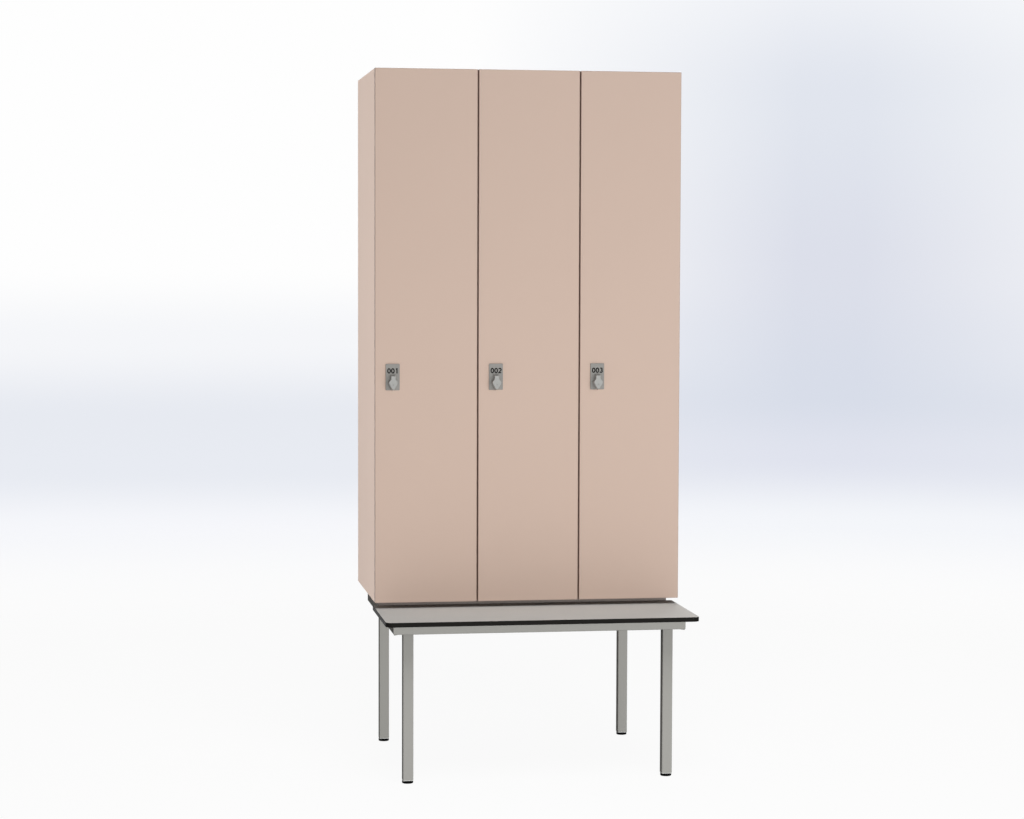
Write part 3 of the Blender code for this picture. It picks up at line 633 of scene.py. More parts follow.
class LOCKER_OT_doors(Operator):
    """Doors with eased bands, bored for the lock and the hinge cups"""

    bl_idname = "locker.doors"
    bl_label = "Doors"

    cup_bore: measure("Cup bore", "Radius of the bores for the hinge cups", 0.0175)
    cup_depth: measure("Cup depth", "Depth of the bores for the hinge cups", 0.012)
    lock_bore: measure("Lock bore", "Radius of the bore for the lock", 0.0113)

    def execute(self, context):
        details = context.scene.locker_details
        # The door band colour is painted shade at the doors' edges
        materials = finishes(context, "laminate", "door_band", "seam", "chips")
        for column in COLUMNS:
            node = f"door_{column}"
            low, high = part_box(node)
            bores = []
            for place in HINGE_PLACES:
                cup_low, cup_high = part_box(f"hinge_cup_{column}_{place}")
                cup = (cup_low + cup_high) / 2
                bores.append((Vector((cup.x, high.y, cup.z)), self.cup_bore, self.cup_depth))
            lock = AXES[f"lock_turn_{column}"]
            bores.append((Vector((lock.x, (low.y + high.y) / 2, lock.z)), self.lock_bore,
                          high.y - low.y))
            tools = [drill(radius, depth, mouth, Y, details.round_sides)
                     for mouth, radius, depth in bores]
            bm = cut(board(context, node, Y, details.door_ease), tools)
            for face in bm.faces:
                spot = face.calc_center_median()
                inside = low.y + MERGE < spot.y < high.y - MERGE
                if inside and any((spot - mouth).xz.length < radius + MERGE
                                  for mouth, radius, _ in bores):
                    face.material_index = 3
            add_piece(f"door_leaf_{column}", bm, materials, f"locker_door_{column}", "door_board",
                      node, angle=SMOOTH_ANGLE)
        return {"FINISHED"}


# Bench

class LOCKER_OT_seat(Operator):
    """Compact seat board: decor faces, black core at the edge, rounded front corners"""

    bl_idname = "locker.seat"
    bl_label = "Seat"

    rim_ease: measure("Rim ease", "Rounding along the rim of the seat board", 0.001)
    front_corner: measure("Front corner", "Radius of the front corners", 0.018)
    rear_corner: measure("Rear corner", "Radius of the rear corners", 0.003)

    def execute(self, context):
        low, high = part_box("bench_board")
        bm = block(low, high)
        ease(bm, edges_where(bm, lambda a, b: max(a.y, b.y) < low.y + MERGE
                             and abs(a.x - b.x) < MERGE), self.front_corner, 14)
        ease(bm, edges_where(bm, lambda a, b: min(a.y, b.y) > high.y - MERGE
                             and abs(a.x - b.x) < MERGE), self.rear_corner, 5)
        ease(bm, edges_where(bm, lambda a, b: abs(a.z - b.z) < MERGE), self.rim_ease)
        for face in bm.faces:
            face.material_index = 0 if abs(face.normal.z) > FLAT else 1
        add_piece("seat", bm, finishes(context, "seat", "core"), CARCASS, "seat_laminate",
                  "bench_board", angle=SMOOTH_ANGLE)
        return {"FINISHED"}


class LOCKER_OT_underframe(Operator):
    """Steel ring and legs, powder-coated over their weld beads"""

    bl_idname = "locker.underframe"
    bl_label = "Underframe"

    leg_trim: measure("Leg trim", "Pale collar seen below the end of a leg", 0.0020)
    bead: measure("Weld bead", "Radius of the weld beads", 0.0018)
    pitch: measure("Bead pitch", "Distance between the ripples of a weld bead", 0.0024)

    def weld(self, bm, start, end):
        """A rippled bead, pinched at each ripple and drawn in at its ends."""
        along = end - start
        steps = 2 * max(2, round(along.length / self.pitch))
        tip, pinch = self.bead * 0.4, self.bead * 0.82
        ripples = [(self.bead if step % 2 else pinch, along.length * step / steps)
                   for step in range(1, steps)]
        profile = [(0, 0), (tip, 0), *ripples, (tip, along.length), (0, along.length)]
        stamp(bm, turned(profile, BEAD_SIDES), start, along)

    def execute(self, context):
        coating = finishes(context, "coating")
        legs = ["leg_" + corner for corner in CORNERS]
        for node in ["front_rail", "rear_rail", "left_rail", "right_rail"] + legs:
            bm = cad_shape(node)
            if node in legs:
                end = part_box(node)[0].z + MERGE
                for vert in bm.verts:
                    if vert.co.z < end:
                        vert.co.z += self.leg_trim
            add_piece(node + "_tube", bm, coating, CARCASS, "frame_coating", node)
        ring_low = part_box("front_rail")[0].z
        ring_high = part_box("front_rail")[1].z
        outer_x, outer_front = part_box("front_rail")[1].x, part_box("front_rail")[0].y
        outer_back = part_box("rear_rail")[1].y
        rise = Z * (ring_high - self.pitch - ring_low)
        reach = outer_x - self.bead
        bm = bmesh.new()
        for corner in CORNERS:
            low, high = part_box("leg_" + corner)
            left, front = "left" in corner, "front" in corner
            outer, inner = (low.x, high.x) if left else (high.x, low.x)
            near, far = (low.y, high.y) if front else (high.y, low.y)
            mitre = (-reach if left else reach,
                     outer_front + self.bead if front else outer_back - self.bead)
            foot, beside, behind, end = (Vector((*spot, ring_low)) for spot in (
                (outer, near), (inner, near), (outer, far), mitre))
            for run in ((foot, beside), (foot, behind), (beside, beside + rise),
                        (behind, behind + rise), (foot, end)):
                self.weld(bm, *run)
        add_piece("weld_beads", bm, coating, CARCASS, "frame_coating", angle=SMOOTH_ANGLE)
        return {"FINISHED"}


class LOCKER_OT_feet(Operator):
    """Glides with their collars and the inserts that hold them in the legs"""

    bl_idname = "locker.feet"
    bl_label = "Feet"

    collar_width: measure("Collar width", "Width of the square collar", 0.0298)
    collar_height: measure("Collar height", "Height of the square collar", 0.0028)
    collar_corner: measure("Collar corner", "Radius of the collar's corners", 0.003)
    glide_height: measure("Glide height", "Height of the round glide", 0.0078)
    rounding: measure("Rounding", "Rounding along the bottom of the glide", 0.0018)
    hollow: measure("Hollow", "Depth of the hollow under the glide", 0.0003)
    groove: measure("Groove", "Depth of the groove near the glide's top", 0.0005)
    groove_width: measure("Groove width", "Width of the groove at its floor", 0.0004)
    collar_ease: measure("Collar ease", "Rounding along the collar's rims", 0.0005)
    wall: measure("Wall", "Insert's distance inside the collar's faces", 0.0018)
    insert_rise: measure("Insert rise", "Insert's start above the top of the glide", 0.001)
    insert_ease: measure("Insert ease", "Rounding along the insert's edges", 0.0008)

    def glide(self, radius, bottom, top, sides):
        """The round glide: hollow below, with a groove near its top."""
        hollow, crown = bottom + self.hollow, top + EDGE
        groove, width = radius - self.groove, self.groove_width
        turns = [pi / 2 * step / 5 for step in range(6)]
        rounding = [(radius - self.rounding * (1 - sin(turn)),
                     bottom + self.rounding * (1 - cos(turn))) for turn in turns]
        return turned([(0, hollow), (radius * 0.55, hollow), (radius * 0.6, bottom), *rounding,
                       (radius, top - 3 * width), (groove, top - 2 * width),
                       (groove, top - width), (radius - HAIR, top), (radius * 0.5, crown),
                       (0, crown)], sides)

    def execute(self, context):
        sides = context.scene.locker_details.round_sides
        materials = finishes(context, "glide", "collar")
        for corner in CORNERS:
            low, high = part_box("foot_" + corner)
            spot, top = (low + high) / 2, low.z + self.glide_height
            bm = bmesh.new()
            stamp(bm, self.glide((high.x - low.x) / 2, low.z, top, sides), (spot.x, spot.y, 0))
            half = self.collar_width / 2
            collar, insert = (block((spot.x - reach, spot.y - reach, start),
                                    (spot.x + reach, spot.y + reach, end))
                              for reach, start, end in (
                                  (half, top, top + self.collar_height),
                                  (half - self.wall, top + self.insert_rise, high.z)))
            ease(collar, edges_where(collar, lambda a, b: abs(a.z - b.z) > MERGE),
                 self.collar_corner, 6)
            ease(collar, edges_where(collar, lambda a, b: abs(a.z - b.z) < MERGE),
                 self.collar_ease, 2)
            ease(insert, insert.edges, self.insert_ease, 2)
            for part in (collar, insert):
                stamp(bm, part, slot=1)
            add_piece("glide_" + corner, bm, materials, CARCASS, "glide_plastic",
                      "foot_" + corner)
        return {"FINISHED"}


# Locks

def arc(centre, reach, start, end, steps=28):
    """Points along part of an ellipse, from one angle to another in degrees."""
    turns = [radians(start + (end - start) * step / steps) for step in range(steps + 1)]
    return [(centre[0] + reach[0] * cos(turn), centre[1] + reach[1] * sin(turn))
            for turn in turns]


# Middle lines of the digits in a unit box; a closed line ends where it starts
DIGITS = {
    "0": (arc((0.50, 0.50), (0.50, 0.50), 90, 450, 48),),
    "1": (((0.22, 0.80), (0.552, 1.037)), ((0.60, 1.137), (0.60, -0.12))),
    "2": (arc((0.49, 0.71), (0.46, 0.29), 165, -38) + [(0.02, 0.0), (1.05, 0.0)],),
    "3": (arc((0.46, 0.755), (0.40, 0.245), 150, -90), arc((0.44, 0.255), (0.48, 0.255), 90, -152)),
}


def stroke(bm, points, width, front, depth):
    """A flat band along a line in the XZ plane, its face towards -Y at the given front."""
    closed = (points[0] - points[-1]).length < MERGE
    points = points[:-1] if closed else points
    sections = []
    for index, point in enumerate(points):
        before = points[index - 1] if index or closed else point
        after = points[(index + 1) % len(points)] if index + 1 < len(points) or closed else point
        runs = [run.normalized() for run in (point - before, after - point) if run.length > 0]
        along = sum(runs, Vector((0, 0))).normalized()
        half = width / 2 / max(0.5, along.dot(runs[0]))
        across = Vector((-along.y, along.x)) * half
        sections.append([bm.verts.new((end.x, y, end.y))
                         for end, y in ((point - across, front), (point + across, front),
                                        (point + across, depth), (point - across, depth))])
    pairs = list(zip(sections, sections[1:] + sections[:1]))
    for first, second in pairs if closed else pairs[:-1]:
        for side in range(4):
            bm.faces.new((first[side - 1], first[side], second[side], second[side - 1]))
    if not closed:
        bm.faces.new(sections[0])
        bm.faces.new(sections[-1])


def number_shape(text, details):
    """Digits as thin strokes, their lower left corner at the origin, facing -Y."""
    bm = bmesh.new()
    wide = details.digit_stroke
    size = Vector((details.digit_width - wide, details.number_height - wide))
    layer, depth = 0.00001, 0.00006  # Each stroke's face lies a layer behind the last one's
    for place, digit in enumerate(text):
        corner = Vector((place * details.digit_pitch + wide / 2, wide / 2))
        for index, line in enumerate(DIGITS[digit]):
            points = [corner + Vector(point) * size for point in line]
            stroke(bm, points, wide, index * layer, depth)
    bmesh.ops.recalc_face_normals(bm, faces=bm.faces)
    return bm


class LOCKER_OT_lock_plates(Operator):
    """Lock plates with their barrels, ring nuts and numbers"""

    bl_idname = "locker.lock_plates"
    bl_label = "Lock Plates"

    corner: measure("Corner", "Radius of the plate's corners", 0.002)
    rim: measure("Rim", "Rounding along the plate's front rim", 0.0006)
    thickness: measure("Thickness", "Thickness of the plate", 0.003)
    barrel: measure("Barrel", "Radius of the barrel", 0.011)
    bore: measure("Bore", "Radius of the bore for the knob's spindle", 0.0053)
    nut: measure("Nut", "Radius of the ring nut", 0.0138)
    nut_height: measure("Nut height", "Height of the ring nut", 0.0028)
    chamfer: measure("Chamfer", "Chamfer of the barrel", 0.0006)
    thread: measure("Thread", "Depth of the ring nut's thread and chamfer", 0.0005)
    rise: measure("Rise", "Digits' middle above the middle of the plate", 0.0181)
    inset: measure("Inset", "Digits' distance from the plate's left edge", 0.0039)
    ink: measure("Ink", "How far the digits stand before the plate", 0.00003)

    def execute(self, context):
        details = context.scene.locker_details
        sides = details.round_sides
        for column in COLUMNS:
            node, body = f"lock_plate_{column}", f"locker_door_{column}"
            low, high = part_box(node)
            axis = AXES[f"lock_turn_{column}"]
            back = low.y + self.thickness
            bm = block(low, (high.x, back, high.z))
            ease(bm, edges_where(bm, lambda a, b: abs(a.y - b.y) > MERGE), self.corner, 6)
            ease(bm, edges_where(bm, lambda a, b: max(a.y, b.y) < low.y + MERGE), self.rim)
            centre = Vector((axis.x, back, axis.z))
            bm = cut(bm, [drill(self.bore, 2 * self.thickness, centre, Y, sides)])
            barrel = rod(self.barrel, 0, high.y - back, sides, self.chamfer, self.bore)
            stamp(bm, barrel, centre, Y)
            nut = rod(self.nut, HAIR, self.nut_height, NUT_SIDES, self.thread,
                      self.barrel - self.thread)
            door_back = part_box(f"door_{column}")[1].y
            stamp(bm, nut, (axis.x, door_back, axis.z), Y, 1)
            add_piece(f"number_plate_{column}", bm, finishes(context, "plate", "zinc"), body,
                      "lock_plate_metal", node)
            bm = number_shape(f"{column:03d}", details)
            corner = (low.x + self.inset, low.y - self.ink,
                      (low.z + high.z - details.number_height) / 2 + self.rise)
            bmesh.ops.translate(bm, vec=corner, verts=bm.verts)
            add_piece(f"number_{column}", bm, finishes(context, "number"), body,
                      "lock_plate_metal", angle=SMOOTH_ANGLE)
        return {"FINISHED"}


class LOCKER_OT_knobs(Operator):
    """Turn knobs with their spindles and keyways"""

    bl_idname = "locker.knobs"
    bl_label = "Knobs"

    neck: measure("Neck", "Half width of the neck", 0.0076)
    belly: measure("Belly", "Half width of the belly", 0.0150)
    tip: measure("Tip", "Half width of the blunt tip", 0.0030)
    shoulder: measure("Shoulder", "Height at which the neck starts to widen", 0.0118)
    belly_top: measure("Belly top", "Height at which the belly is nearly widest", 0.0050)
    belly_drop: measure("Belly drop", "Depth below the axis at which the belly is widest", 0.0008)
    thickness: measure("Thickness", "Depth of the knob", 0.0185)
    draft: measure("Draft", "Front face's share of the rear face", 0.84, "NONE")
    rounding: measure("Rounding", "Rounding along the front rim", 0.0011)
    keyway: measure("Keyway", "Radius of the key's round way", 0.0026)
    keyway_drop: measure("Keyway drop", "Keyway's distance below the axis", 0.005)
    keyway_depth: measure("Keyway depth", "Depth of the key's round way", 0.0030)
    plug_sink: measure("Plug", "Plug's distance behind the knob's face", 0.0003)
    slot_width: measure("Slot width", "Width of the key's slot", 0.0008)
    slot_length: measure("Slot length", "Length of the key's slot", 0.0028)
    # Painted shade: the key's slot is not cut, and a thin black layer stands in for the shade down
    # it
    slot_shade_layer: measure("Slot layer", "Thickness of the dark layer that shows the slot", 0.00004)
    spindle: measure("Spindle", "Radius of the spindle", 0.005)
    root: measure("Root", "How far the spindle starts inside the knob", 0.004)
    square: measure("Square", "Width of the spindle's square end", 0.007)
    square_length: measure("Square length", "Length of the square end", 0.004)
    overlap: measure("Overlap", "How far the spindle goes over its square end", 0.0012)
    square_ease: measure("Square ease", "Rounding along the square end's edges", 0.0003)

    def grip(self, axis, low, high):
        """The knob's solid, its front face smaller than its back."""
        back = low.y + self.thickness
        top, tip = high.z - axis.z, low.z - axis.z
        # Half width and height of each corner, then the offset and segments of its rounding
        corners = ((self.neck, top, 0.0012, 4), (self.neck * 1.03, self.shoulder, 0.0034, 6),
                   (self.belly * 0.95, self.belly_top, 0.0022, 6),
                   (self.belly, -self.belly_drop, 0.0022, 6),
                   (self.belly * 0.72, tip * 0.42, 0.0040, 6), (self.tip, tip, 0.0024, 6))
        bm = bmesh.new()
        outline = [(u, v) for u, v, *_ in corners] + [(-u, v) for u, v, *_ in reversed(corners)]
        verts = [bm.verts.new((axis.x + u, back, axis.z + v)) for u, v in outline]
        bm.faces.new(verts)
        for index, (_, _, offset, segments) in enumerate(corners):
            bmesh.ops.bevel(bm, geom=[verts[index], verts[-index - 1]], offset=offset,
                            segments=segments, profile=0.5, affect="VERTICES", material=-1)
        bm.faces.ensure_lookup_table()
        drawn = bmesh.ops.extrude_face_region(bm, geom=[bm.faces[0]], use_keep_orig=True)
        moved = [item for item in drawn["geom"] if isinstance(item, bmesh.types.BMVert)]
        bmesh.ops.translate(bm, vec=(0, -self.thickness, 0), verts=moved)
        bmesh.ops.scale(bm, vec=(self.draft, 1.0, self.draft), verts=moved,
                        space=Matrix.Translation((-axis.x, 0, -axis.z)))
        bmesh.ops.recalc_face_normals(bm, faces=bm.faces)
        ease(bm, edges_where(bm, lambda a, b: max(a.y, b.y) < low.y + MERGE), self.rounding, 4)
        front = max((face for face in bm.faces if face.normal.y < -FLAT),
                    key=lambda face: face.calc_area())
        mouth = Vector((axis.x, low.y, axis.z - self.keyway_drop))
        sink(bm, front, at(mouth, -Y), self.keyway, self.keyway_depth, SMALL_SIDES)
        return bm

    def execute(self, context):
        materials = finishes(context, "knob", "zinc", "core")
        for column in COLUMNS:
            node = f"lock_knob_{column}"
            low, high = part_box(node)
            axis = AXES[f"lock_turn_{column}"]
            bm = self.grip(axis, low, high)
            plug = (axis.x, low.y + self.plug_sink, axis.z - self.keyway_drop)
            disc = rod(self.keyway - HAIR, -self.keyway_depth, 0, SMALL_SIDES, EDGE)
            stamp(bm, disc, plug, -Y)
            # Painted shade: a black layer in the core finish stands in for the shaded key slot
            half = Vector((self.slot_width, self.slot_length, self.slot_shade_layer)) / 2
            stamp(bm, block(-half, half), plug, -Y, 2)
            back, start = low.y + self.thickness, high.y - self.square_length
            spindle = rod(self.spindle, -self.root, start + self.overlap - back, SMALL_SIDES)
            stamp(bm, spindle, (axis.x, back, axis.z), Y, 1)
            half = self.square / 2
            square = block((axis.x - half, start, axis.z - half),
                           (axis.x + half, high.y, axis.z + half))
            ease(square, square.edges, self.square_ease, 2)
            stamp(bm, square, slot=1)
            add_piece(f"turn_knob_{column}", bm, materials, f"turn_lock_{column}",
                      "lock_knob_metal", node)
        return {"FINISHED"}


class LOCKER_OT_cams(Operator):
    """Cams with their screws, and the strikes that they turn behind"""

    bl_idname = "locker.cams"
    bl_label = "Cams and Strikes"

    washer: measure("Washer", "Radius of the washer under a cam's screw", 0.0062)
    washer_height: measure("Washer height", "Height of the washer", 0.0008)
    screw_spread: measure("Screw spread", "Distance between a strike's screws", 0.018)
    screw_back: measure("Screw back", "Screws' distance from the strike's rear edge", 0.0095)
    sheet: measure("Sheet", "Thickness of the strike's sheet", 0.002)

    def execute(self, context):
        zinc = finishes(context, "zinc")
        head = screw_head(context.scene.locker_details.screw_radius)
        for column in COLUMNS:
            axis = AXES[f"lock_turn_{column}"]
            bm = cad_shape(f"lock_cam_{column}")
            end = Vector((axis.x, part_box(f"lock_knob_{column}")[1].y, axis.z))
            stamp(bm, rod(self.washer, 0, self.washer_height, SMALL_SIDES, EDGE), end, Y)
            stamp(bm, head, end + Y * self.washer_height, Y)
            add_piece(f"cam_{column}", bm, zinc, f"turn_lock_{column}", "zinc_plate",
                      f"lock_cam_{column}")
            node = f"lock_strike_{column}"
            low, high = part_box(node)
            bm = cad_shape(node)
            for rise in (-self.screw_spread / 2, self.screw_spread / 2):
                stamp(bm, head, (low.x + self.sheet, high.y - self.screw_back,
                                 (low.z + high.z) / 2 + rise), X)
            add_piece(f"strike_{column}", bm, zinc, CARCASS, "zinc_plate", node)
        return {"FINISHED"}


# Hinges and inside fittings

class LOCKER_OT_hinges(Operator):
    """Hinge cups and arms with their screws and rivets"""

    bl_idname = "locker.hinges"
    bl_label = "Hinges"

    ear_screw: measure("Ear screw", "Screws' distance above and below a cup", 0.0240)
    wing_screw: measure("Wing screw", "Screws' distance above and below an arm", 0.0190)
    wing_from_tail: measure("Wing", "Distance of the wings from the arm's tail", 0.0243)
    base: measure("Base", "Thickness of the mounting plate", 0.0025)
    rivet: measure("Rivet", "Radius of the rivets through the arm's nose", 0.0014)
    rivet_rise: measure("Rivet rise", "Height of the rivets' heads", 0.0005)
    nose_rivet: measure("Nose rivet", "First rivet's distance from the nose's tip", 0.0028)
    rivet_pitch: measure("Rivet pitch", "Distance between the rivets", 0.0046)
    adjust: measure("Adjusting screw", "First adjusting screw's distance from the tail", 0.0120)
    adjust_pitch: measure("Adjusting pitch", "Distance between the adjusting screws", 0.0170)
    adjust_head: measure("Adjusting head", "Radius of the adjusting screws' heads", 0.00306)

    def cup(self, bm, low, high, head):
        """Ear screws of a cup."""
        centre = (low + high) / 2
        for sign in (-1, 1):
            stamp(bm, head, (centre.x, high.y, centre.z + sign * self.ear_screw), Y)

    def arm(self, bm, low, high, head, small):
        """Wing screws, adjusting screws and the rivets on both sides of the nose."""
        level = (low.z + high.z) / 2
        nose = [vert.co for vert in bm.verts if vert.co.y < low.y + self.nose_rivet]
        spine = (min(co.x for co in nose) + max(co.x for co in nose)) / 2
        side = max(co.z for co in nose) - level
        back = min(vert.co.x for vert in bm.verts if vert.co.y > high.y - self.adjust)
        radius, rise = self.rivet, self.rivet_rise
        dome = ((0, -rise), (radius, -rise), (radius, rise * 0.3), (radius * 0.7, rise * 0.8),
                (0, rise))
        for reach in (self.nose_rivet, self.nose_rivet + self.rivet_pitch):
            for sign in (-1, 1):
                stamp(bm, turned(dome, RIVET_SIDES),
                      (spine, low.y + reach, level + sign * side), Z * sign)
        for sign in (-1, 1):
            stamp(bm, head, (high.x - self.base, high.y - self.wing_from_tail,
                             level + sign * self.wing_screw), -X)
        for reach in (self.adjust, self.adjust + self.adjust_pitch):
            stamp(bm, small, (back, high.y - reach, level), -X)

    def execute(self, context):
        zinc = finishes(context, "zinc")
        head = screw_head(context.scene.locker_details.screw_radius)
        small = screw_head(self.adjust_head)
        for column, place in ((column, place) for column in COLUMNS for place in HINGE_PLACES):
            tail = f"_{column}_{place}"
            low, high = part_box("hinge_cup" + tail)
            bm = cad_shape("hinge_cup" + tail)
            self.cup(bm, low, high, head)
            add_piece("cup" + tail, bm, zinc, f"locker_door_{column}", "zinc_plate",
                      "hinge_cup" + tail)
            low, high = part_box("hinge_arm" + tail)
            bm = cad_shape("hinge_arm" + tail)
            self.arm(bm, low, high, head, small)
            add_piece("arm" + tail, bm, zinc, CARCASS, "zinc_plate", "hinge_arm" + tail)
        return {"FINISHED"}


class LOCKER_OT_inside(Operator):
    """Coat rails with their socket screws, and the pins under the shelves"""

    bl_idname = "locker.inside"
    bl_label = "Coat Rails and Pins"

    socket: measure("Socket", "Length of the sockets round the ends of a rail", 0.012)
    screw: measure("Socket screw", "Radius of the socket screws' heads", 0.00216)
    screw_rise: measure("Screw rise", "How far a socket's screw sits in from below", 0.0016)
    pin_radius: measure("Pin", "Radius of the shelf pins", 0.0025)
    pin_length: measure("Pin length", "How far the shelf pins stand out", 0.009)
    pin_tip: measure("Pin tip", "Chamfer at the end of a shelf pin", 0.0005)
    collar: measure("Collar", "Radius of the shelf pins' collars", 0.00425)
    collar_height: measure("Collar height", "Height of the shelf pins' collars", 0.0012)
    pin_front: measure("Front pins", "Pins' distance from the shelf's front", 0.040)
    pin_back: measure("Rear pins", "Pins' distance from the shelf's back", 0.060)

    def execute(self, context):
        materials = finishes(context, "chrome", "zinc")
        head = screw_head(self.screw)
        collar, height, radius, end = (self.collar, self.collar_height, self.pin_radius,
                                       self.pin_length)
        pin = ((0, 0), (collar, 0), (collar, height), (radius, height + EDGE),
               (radius, end - self.pin_tip), (radius - self.pin_tip, end), (0, end))
        for column in COLUMNS:
            node = f"coat_rail_{column}"
            low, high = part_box(node)
            bm = cad_shape(node)
            for face in bm.faces:
                x = face.calc_center_median().x
                in_socket = min(x - low.x, high.x - x) < self.socket + MERGE
                face.material_index = 1 if in_socket else 0
            for x in (low.x + self.socket / 2, high.x - self.socket / 2):
                stamp(bm, head, (x, (low.y + high.y) / 2, low.z + self.screw_rise), -Z, 1)
            add_piece(f"clothes_rail_{column}", bm, materials, CARCASS, "coat_rail_metal", node)
            shelf_low, shelf_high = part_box(f"shelf_{column}")
            bm = bmesh.new()
            for x, direction in ((shelf_low.x, X), (shelf_high.x, -X)):
                for y in (shelf_low.y + self.pin_front, shelf_high.y - self.pin_back):
                    stamp(bm, turned(pin, HEAD_SIDES), (x, y, shelf_low.z - collar), direction)
            add_piece(f"shelf_pins_{column}", bm, materials[1:], CARCASS, "zinc_plate")
        return {"FINISHED"}


# Stage

def ramp(tree, value, stops):
    """A colour ramp from (position, display colour) stops."""
    node = tree.nodes.new("ShaderNodeValToRGB")
    node.color_ramp.interpolation = "EASE"
    points = node.color_ramp.elements
    while len(points) < len(stops):
        points.new(0.5)
    for point, (position, display) in zip(points, stops):
        point.position = position
        point.color = (*linear(*display), 1.0)
    tree.links.new(value, node.inputs["Fac"])
    return node.outputs["Color"]


def maths(tree, operation, *values):
    """A math node's result."""
    node = tree.nodes.new("ShaderNodeMath")
    node.operation = operation
    feed(tree, node.inputs, values)
    return node.outputs["Value"]


def mix_shaders(tree, factor, first, second):
    """Two shaders mixed by a number or a socket."""
    node = tree.nodes.new("ShaderNodeMixShader")
    feed(tree, node.inputs, (factor, first.outputs[0], second.outputs[0]))
    return node


def seen_directly(tree):
    """1 for rays that show the surroundings themselves: camera, mirror and glass rays."""
    rays = tree.nodes.new("ShaderNodeLightPath")
    total = maths(tree, "MAXIMUM", rays.outputs["Is Camera Ray"], rays.outputs["Is Glossy Ray"])
    return maths(tree, "MAXIMUM", total, rays.outputs["Is Transmission Ray"])


def paint_backdrop(world, ambient):
    """White surroundings with a soft lilac band at the horizon and a cloud on the right."""
    world.use_nodes = True
    tree = world.node_tree
    tree.nodes.clear()
    parts = tree.nodes.new("ShaderNodeSeparateXYZ")
    direction = tree.nodes.new("ShaderNodeTexCoord").outputs["Generated"]
    tree.links.new(direction, parts.inputs["Vector"])
    elevation = maths(tree, "ARCSINE", parts.outputs["Z"])
    band = 0.15  # Radians above and below the horizon that the ramps cover
    height = spread(tree, elevation, start=-band, end=band)
    open_side = ramp(tree, height, (
        (0.05, (254, 254, 255)), (0.15, (246, 247, 251)), (0.23, (232, 235, 242)),
        (0.30, (231, 234, 241)), (0.40, (245, 246, 249)), (0.50, (254, 254, 254))))
    cloud_side = ramp(tree, height, (
        (0.06, (254, 254, 255)), (0.16, (244, 246, 250)), (0.25, (224, 227, 238)),
        (0.33, (216, 221, 233)), (0.50, (220, 223, 234)), (0.72, (225, 229, 238)),
        (0.90, (240, 242, 247)), (1.00, (252, 252, 254))))
    bearing = maths(tree, "ARCTAN2", parts.outputs["X"], parts.outputs["Y"])
    rising = spread(tree, bearing, 0.0, 1.0, radians(8.0), radians(15.5))
    falling = spread(tree, bearing, 1.0, 0.25, radians(17.0), radians(24.0))
    cloud = maths(tree, "MULTIPLY", rising, falling)
    painted = tree.nodes.new("ShaderNodeBackground")
    tree.links.new(blend_colours(tree, cloud, open_side, cloud_side), painted.inputs["Color"])
    lit = tree.nodes.new("ShaderNodeBackground")
    feed(tree, lit.inputs, ((1.0, 1.0, 1.0), ambient))
    choice = mix_shaders(tree, seen_directly(tree), lit, painted)
    out = tree.nodes.new("ShaderNodeOutputWorld")
    tree.links.new(choice.outputs[0], out.inputs["Surface"])


def floor_finish(stage):
    """A pale floor that keeps the shadow, fades into the backdrop and is clear from below."""
    material = bpy.data.materials.new("pale studio floor")
    material.use_nodes = True
    tree = material.node_tree
    tree.nodes.clear()
    place = tree.nodes.new("ShaderNodeTexCoord").outputs["Object"]
    tint = tuple(stage.floor_colour)
    tone = blend_colours(tree, noise(tree, place, 0.5), shaded(tint, -0.004), tint)
    matt, glow, bounce, clear = (tree.nodes.new("ShaderNode" + kind) for kind in (
        "BsdfDiffuse", "Emission", "BsdfDiffuse", "BsdfTransparent"))
    tree.links.new(tone, matt.inputs["Color"])
    tree.links.new(tone, glow.inputs["Color"])
    bounce.inputs["Color"].default_value = (*[stage.floor_bounce] * 3, 1.0)
    lifted = mix_shaders(tree, stage.floor_lift, matt, glow)
    ground = mix_shaders(tree, seen_directly(tree), bounce, lifted)
    away = tree.nodes.new("ShaderNodeVectorMath")
    away.operation = "LENGTH"
    tree.links.new(place, away.inputs[0])
    fade = spread(tree, away.outputs["Value"], 0.0, 1.0, stage.floor_solid, stage.floor_radius)
    below = tree.nodes.new("ShaderNodeNewGeometry").outputs["Backfacing"]
    whole = mix_shaders(tree, maths(tree, "MAXIMUM", fade, below), ground, clear)
    out = tree.nodes.new("ShaderNodeOutputMaterial")
    tree.links.new(whole.outputs[0], out.inputs["Surface"])
    return material


# Each lamp's width and height, its place, the point it faces and the pieces it is kept to
LAMPS = {
    "fill": ((3.0, 3.0), (3.6, -6.0, 2.3), (0, 0, 1.0), "cabinet"),
    "key": ((1.6, 3.0), (1.0, -11.5, 3.0), (0, 0, 1.0), "cabinet"),
    "under": ((6.0, 4.0), (0, -2.5, 0.01), (0, -2.5, 1.0), "cabinet"),
    "low": ((1.6, 1.4), (3.8, -16.0, 0.75), (0, 0, 0.4), "bench"),
    "deep": ((1.6, 1.4), (3.8, -16.0, 0.5), (0, 0, 0.3), "rear legs and front rail"),
    "top": ((2.4, 2.4), (0.1, -2.6, 4.6), (0.1, -0.1, 0.5), "bench and floor"),
    "back": ((3.0, 3.0), (0.8, 3.6, 4.4), (0, 0.3, 1.5), "whole"),
    "side": ((1.8, 1.8), (-4.5, -0.3, 1.5), (-0.45, 0.15, 1.1), "left side"),
}


def soft_lamp(name, power, size, place, target):
    """A soft lamp of a width and a height that faces a point."""
    lamp = bpy.data.lights.new(name, "AREA")
    lamp.energy = power
    lamp.shape = "RECTANGLE"
    lamp.size, lamp.size_y = size
    holder = bpy.data.objects.new(name, lamp)
    holder.location = place
    holder.rotation_euler = (Vector(target) - Vector(place)).to_track_quat("-Z", "Y").to_euler()
    bpy.context.scene.collection.objects.link(holder)
    return holder


def lowest(piece):
    """The height of a piece's lowest corner."""
    return min(corner[2] for corner in piece.bound_box)


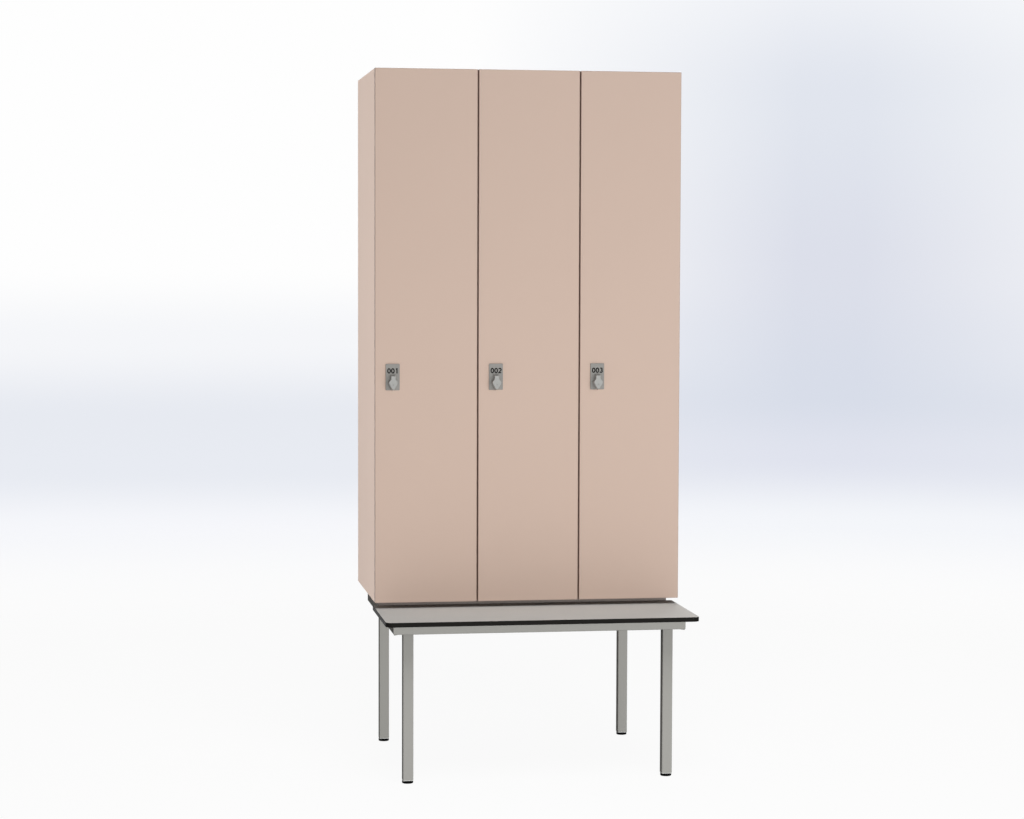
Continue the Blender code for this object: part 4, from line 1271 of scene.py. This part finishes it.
def receivers(scene, name, chosen):
    """A collection of the finished pieces that a lamp is kept to."""
    group = bpy.data.collections.new(name)
    scene.collection.children.link(group)
    for piece in scene.objects:
        if piece.type == "MESH" and not piece.hide_render and chosen(piece):
            group.objects.link(piece)
    return group


class LOCKER_OT_stage(Operator):
    """Floor, backdrop, soft lamps and the camera"""

    bl_idname = "locker.stage"
    bl_label = "Stage"

    def execute(self, context):
        scene = context.scene
        stage = scene.locker_stage
        bm = bmesh.new()
        bmesh.ops.create_circle(bm, cap_ends=True, segments=96, radius=stage.floor_radius)
        mesh = to_mesh(bm, "floor")
        mesh.materials.append(floor_finish(stage))
        floor = bpy.data.objects.new("floor", mesh)
        scene.collection.objects.link(floor)
        world = scene.world or bpy.data.worlds.new("backdrop")
        scene.world = world
        paint_backdrop(world, stage.ambient)
        seat_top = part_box("bench_board")[1].z
        tests = {
            "bench": lambda piece: piece != floor and lowest(piece) < seat_top,
            "cabinet": lambda piece: lowest(piece) > seat_top or piece.name.startswith("plinth"),
            "whole": lambda piece: piece != floor,
            "bench and floor": lambda piece: lowest(piece) < seat_top,
            "rear legs and front rail": lambda piece: piece.name.startswith(
                ("leg_rear", "front_rail", "glide_rear")),
            "left side": lambda piece: piece.name.startswith("left_side"),
        }
        groups = {name: receivers(scene, name, chosen) for name, chosen in tests.items()}
        for name, (size, place, target, group) in LAMPS.items():
            lamp = soft_lamp(name, getattr(stage, name + "_power"), size, place, target)
            if name == "under":
                lamp.visible_camera = lamp.visible_glossy = False
            lamp.light_linking.receiver_collection = groups[group]
        camera = bpy.data.cameras.new("camera")
        camera.sensor_width = SENSOR
        camera.lens = FOCAL_PIXELS / FRAME_WIDTH * SENSOR
        camera.clip_end = 200.0
        holder = bpy.data.objects.new("camera", camera)
        turn = Matrix.Rotation(-stage.yaw, 4, "Z") @ Matrix.Rotation(pi / 2 - stage.pitch, 4, "X")
        turn = turn @ Matrix.Rotation(stage.roll, 4, "Z")
        holder.matrix_world = Matrix.Translation(stage.camera_place) @ turn
        scene.collection.objects.link(holder)
        scene.camera = holder
        scene.view_settings.view_transform = "Standard"
        return {"FINISHED"}


OPERATORS = (
    LOCKER_OT_panels, LOCKER_OT_back_panel, LOCKER_OT_doors, LOCKER_OT_seat,
    LOCKER_OT_underframe, LOCKER_OT_feet, LOCKER_OT_lock_plates, LOCKER_OT_knobs,
    LOCKER_OT_cams, LOCKER_OT_hinges, LOCKER_OT_inside, LOCKER_OT_stage,
)


class LOCKER_PT_pieces(Panel):
    """Lists the pieces of the locker with bench."""

    bl_label = "Locker with Bench"
    bl_space_type = "VIEW_3D"
    bl_region_type = "UI"
    bl_category = "Locker"

    def draw(self, context):
        layout = self.layout
        for group in (context.scene.locker_finishes, context.scene.locker_details,
                      context.scene.locker_stage):
            box = layout.box()
            for name in group.__annotations__:
                box.prop(group, name)
        for operator in OPERATORS:
            layout.operator(operator.bl_idname)


CLASSES = (LockerFinishes, LockerDetails, LockerStage) + OPERATORS + (LOCKER_PT_pieces,)


def register():
    """Adds the classes and the settings."""
    for cls in CLASSES:
        bpy.utils.register_class(cls)
    bpy.types.Scene.locker_finishes = PointerProperty(type=LockerFinishes)
    bpy.types.Scene.locker_details = PointerProperty(type=LockerDetails)
    bpy.types.Scene.locker_stage = PointerProperty(type=LockerStage)


def unregister():
    """Takes the settings and the classes away."""
    del bpy.types.Scene.locker_stage
    del bpy.types.Scene.locker_details
    del bpy.types.Scene.locker_finishes
    for cls in reversed(CLASSES):
        bpy.utils.unregister_class(cls)


def main():
    """Makes every piece."""
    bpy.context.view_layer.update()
    register()
    for operator in OPERATORS:
        group, name = operator.bl_idname.split(".")
        getattr(getattr(bpy.ops, group), name)()


if __name__ == "__main__":
    main()
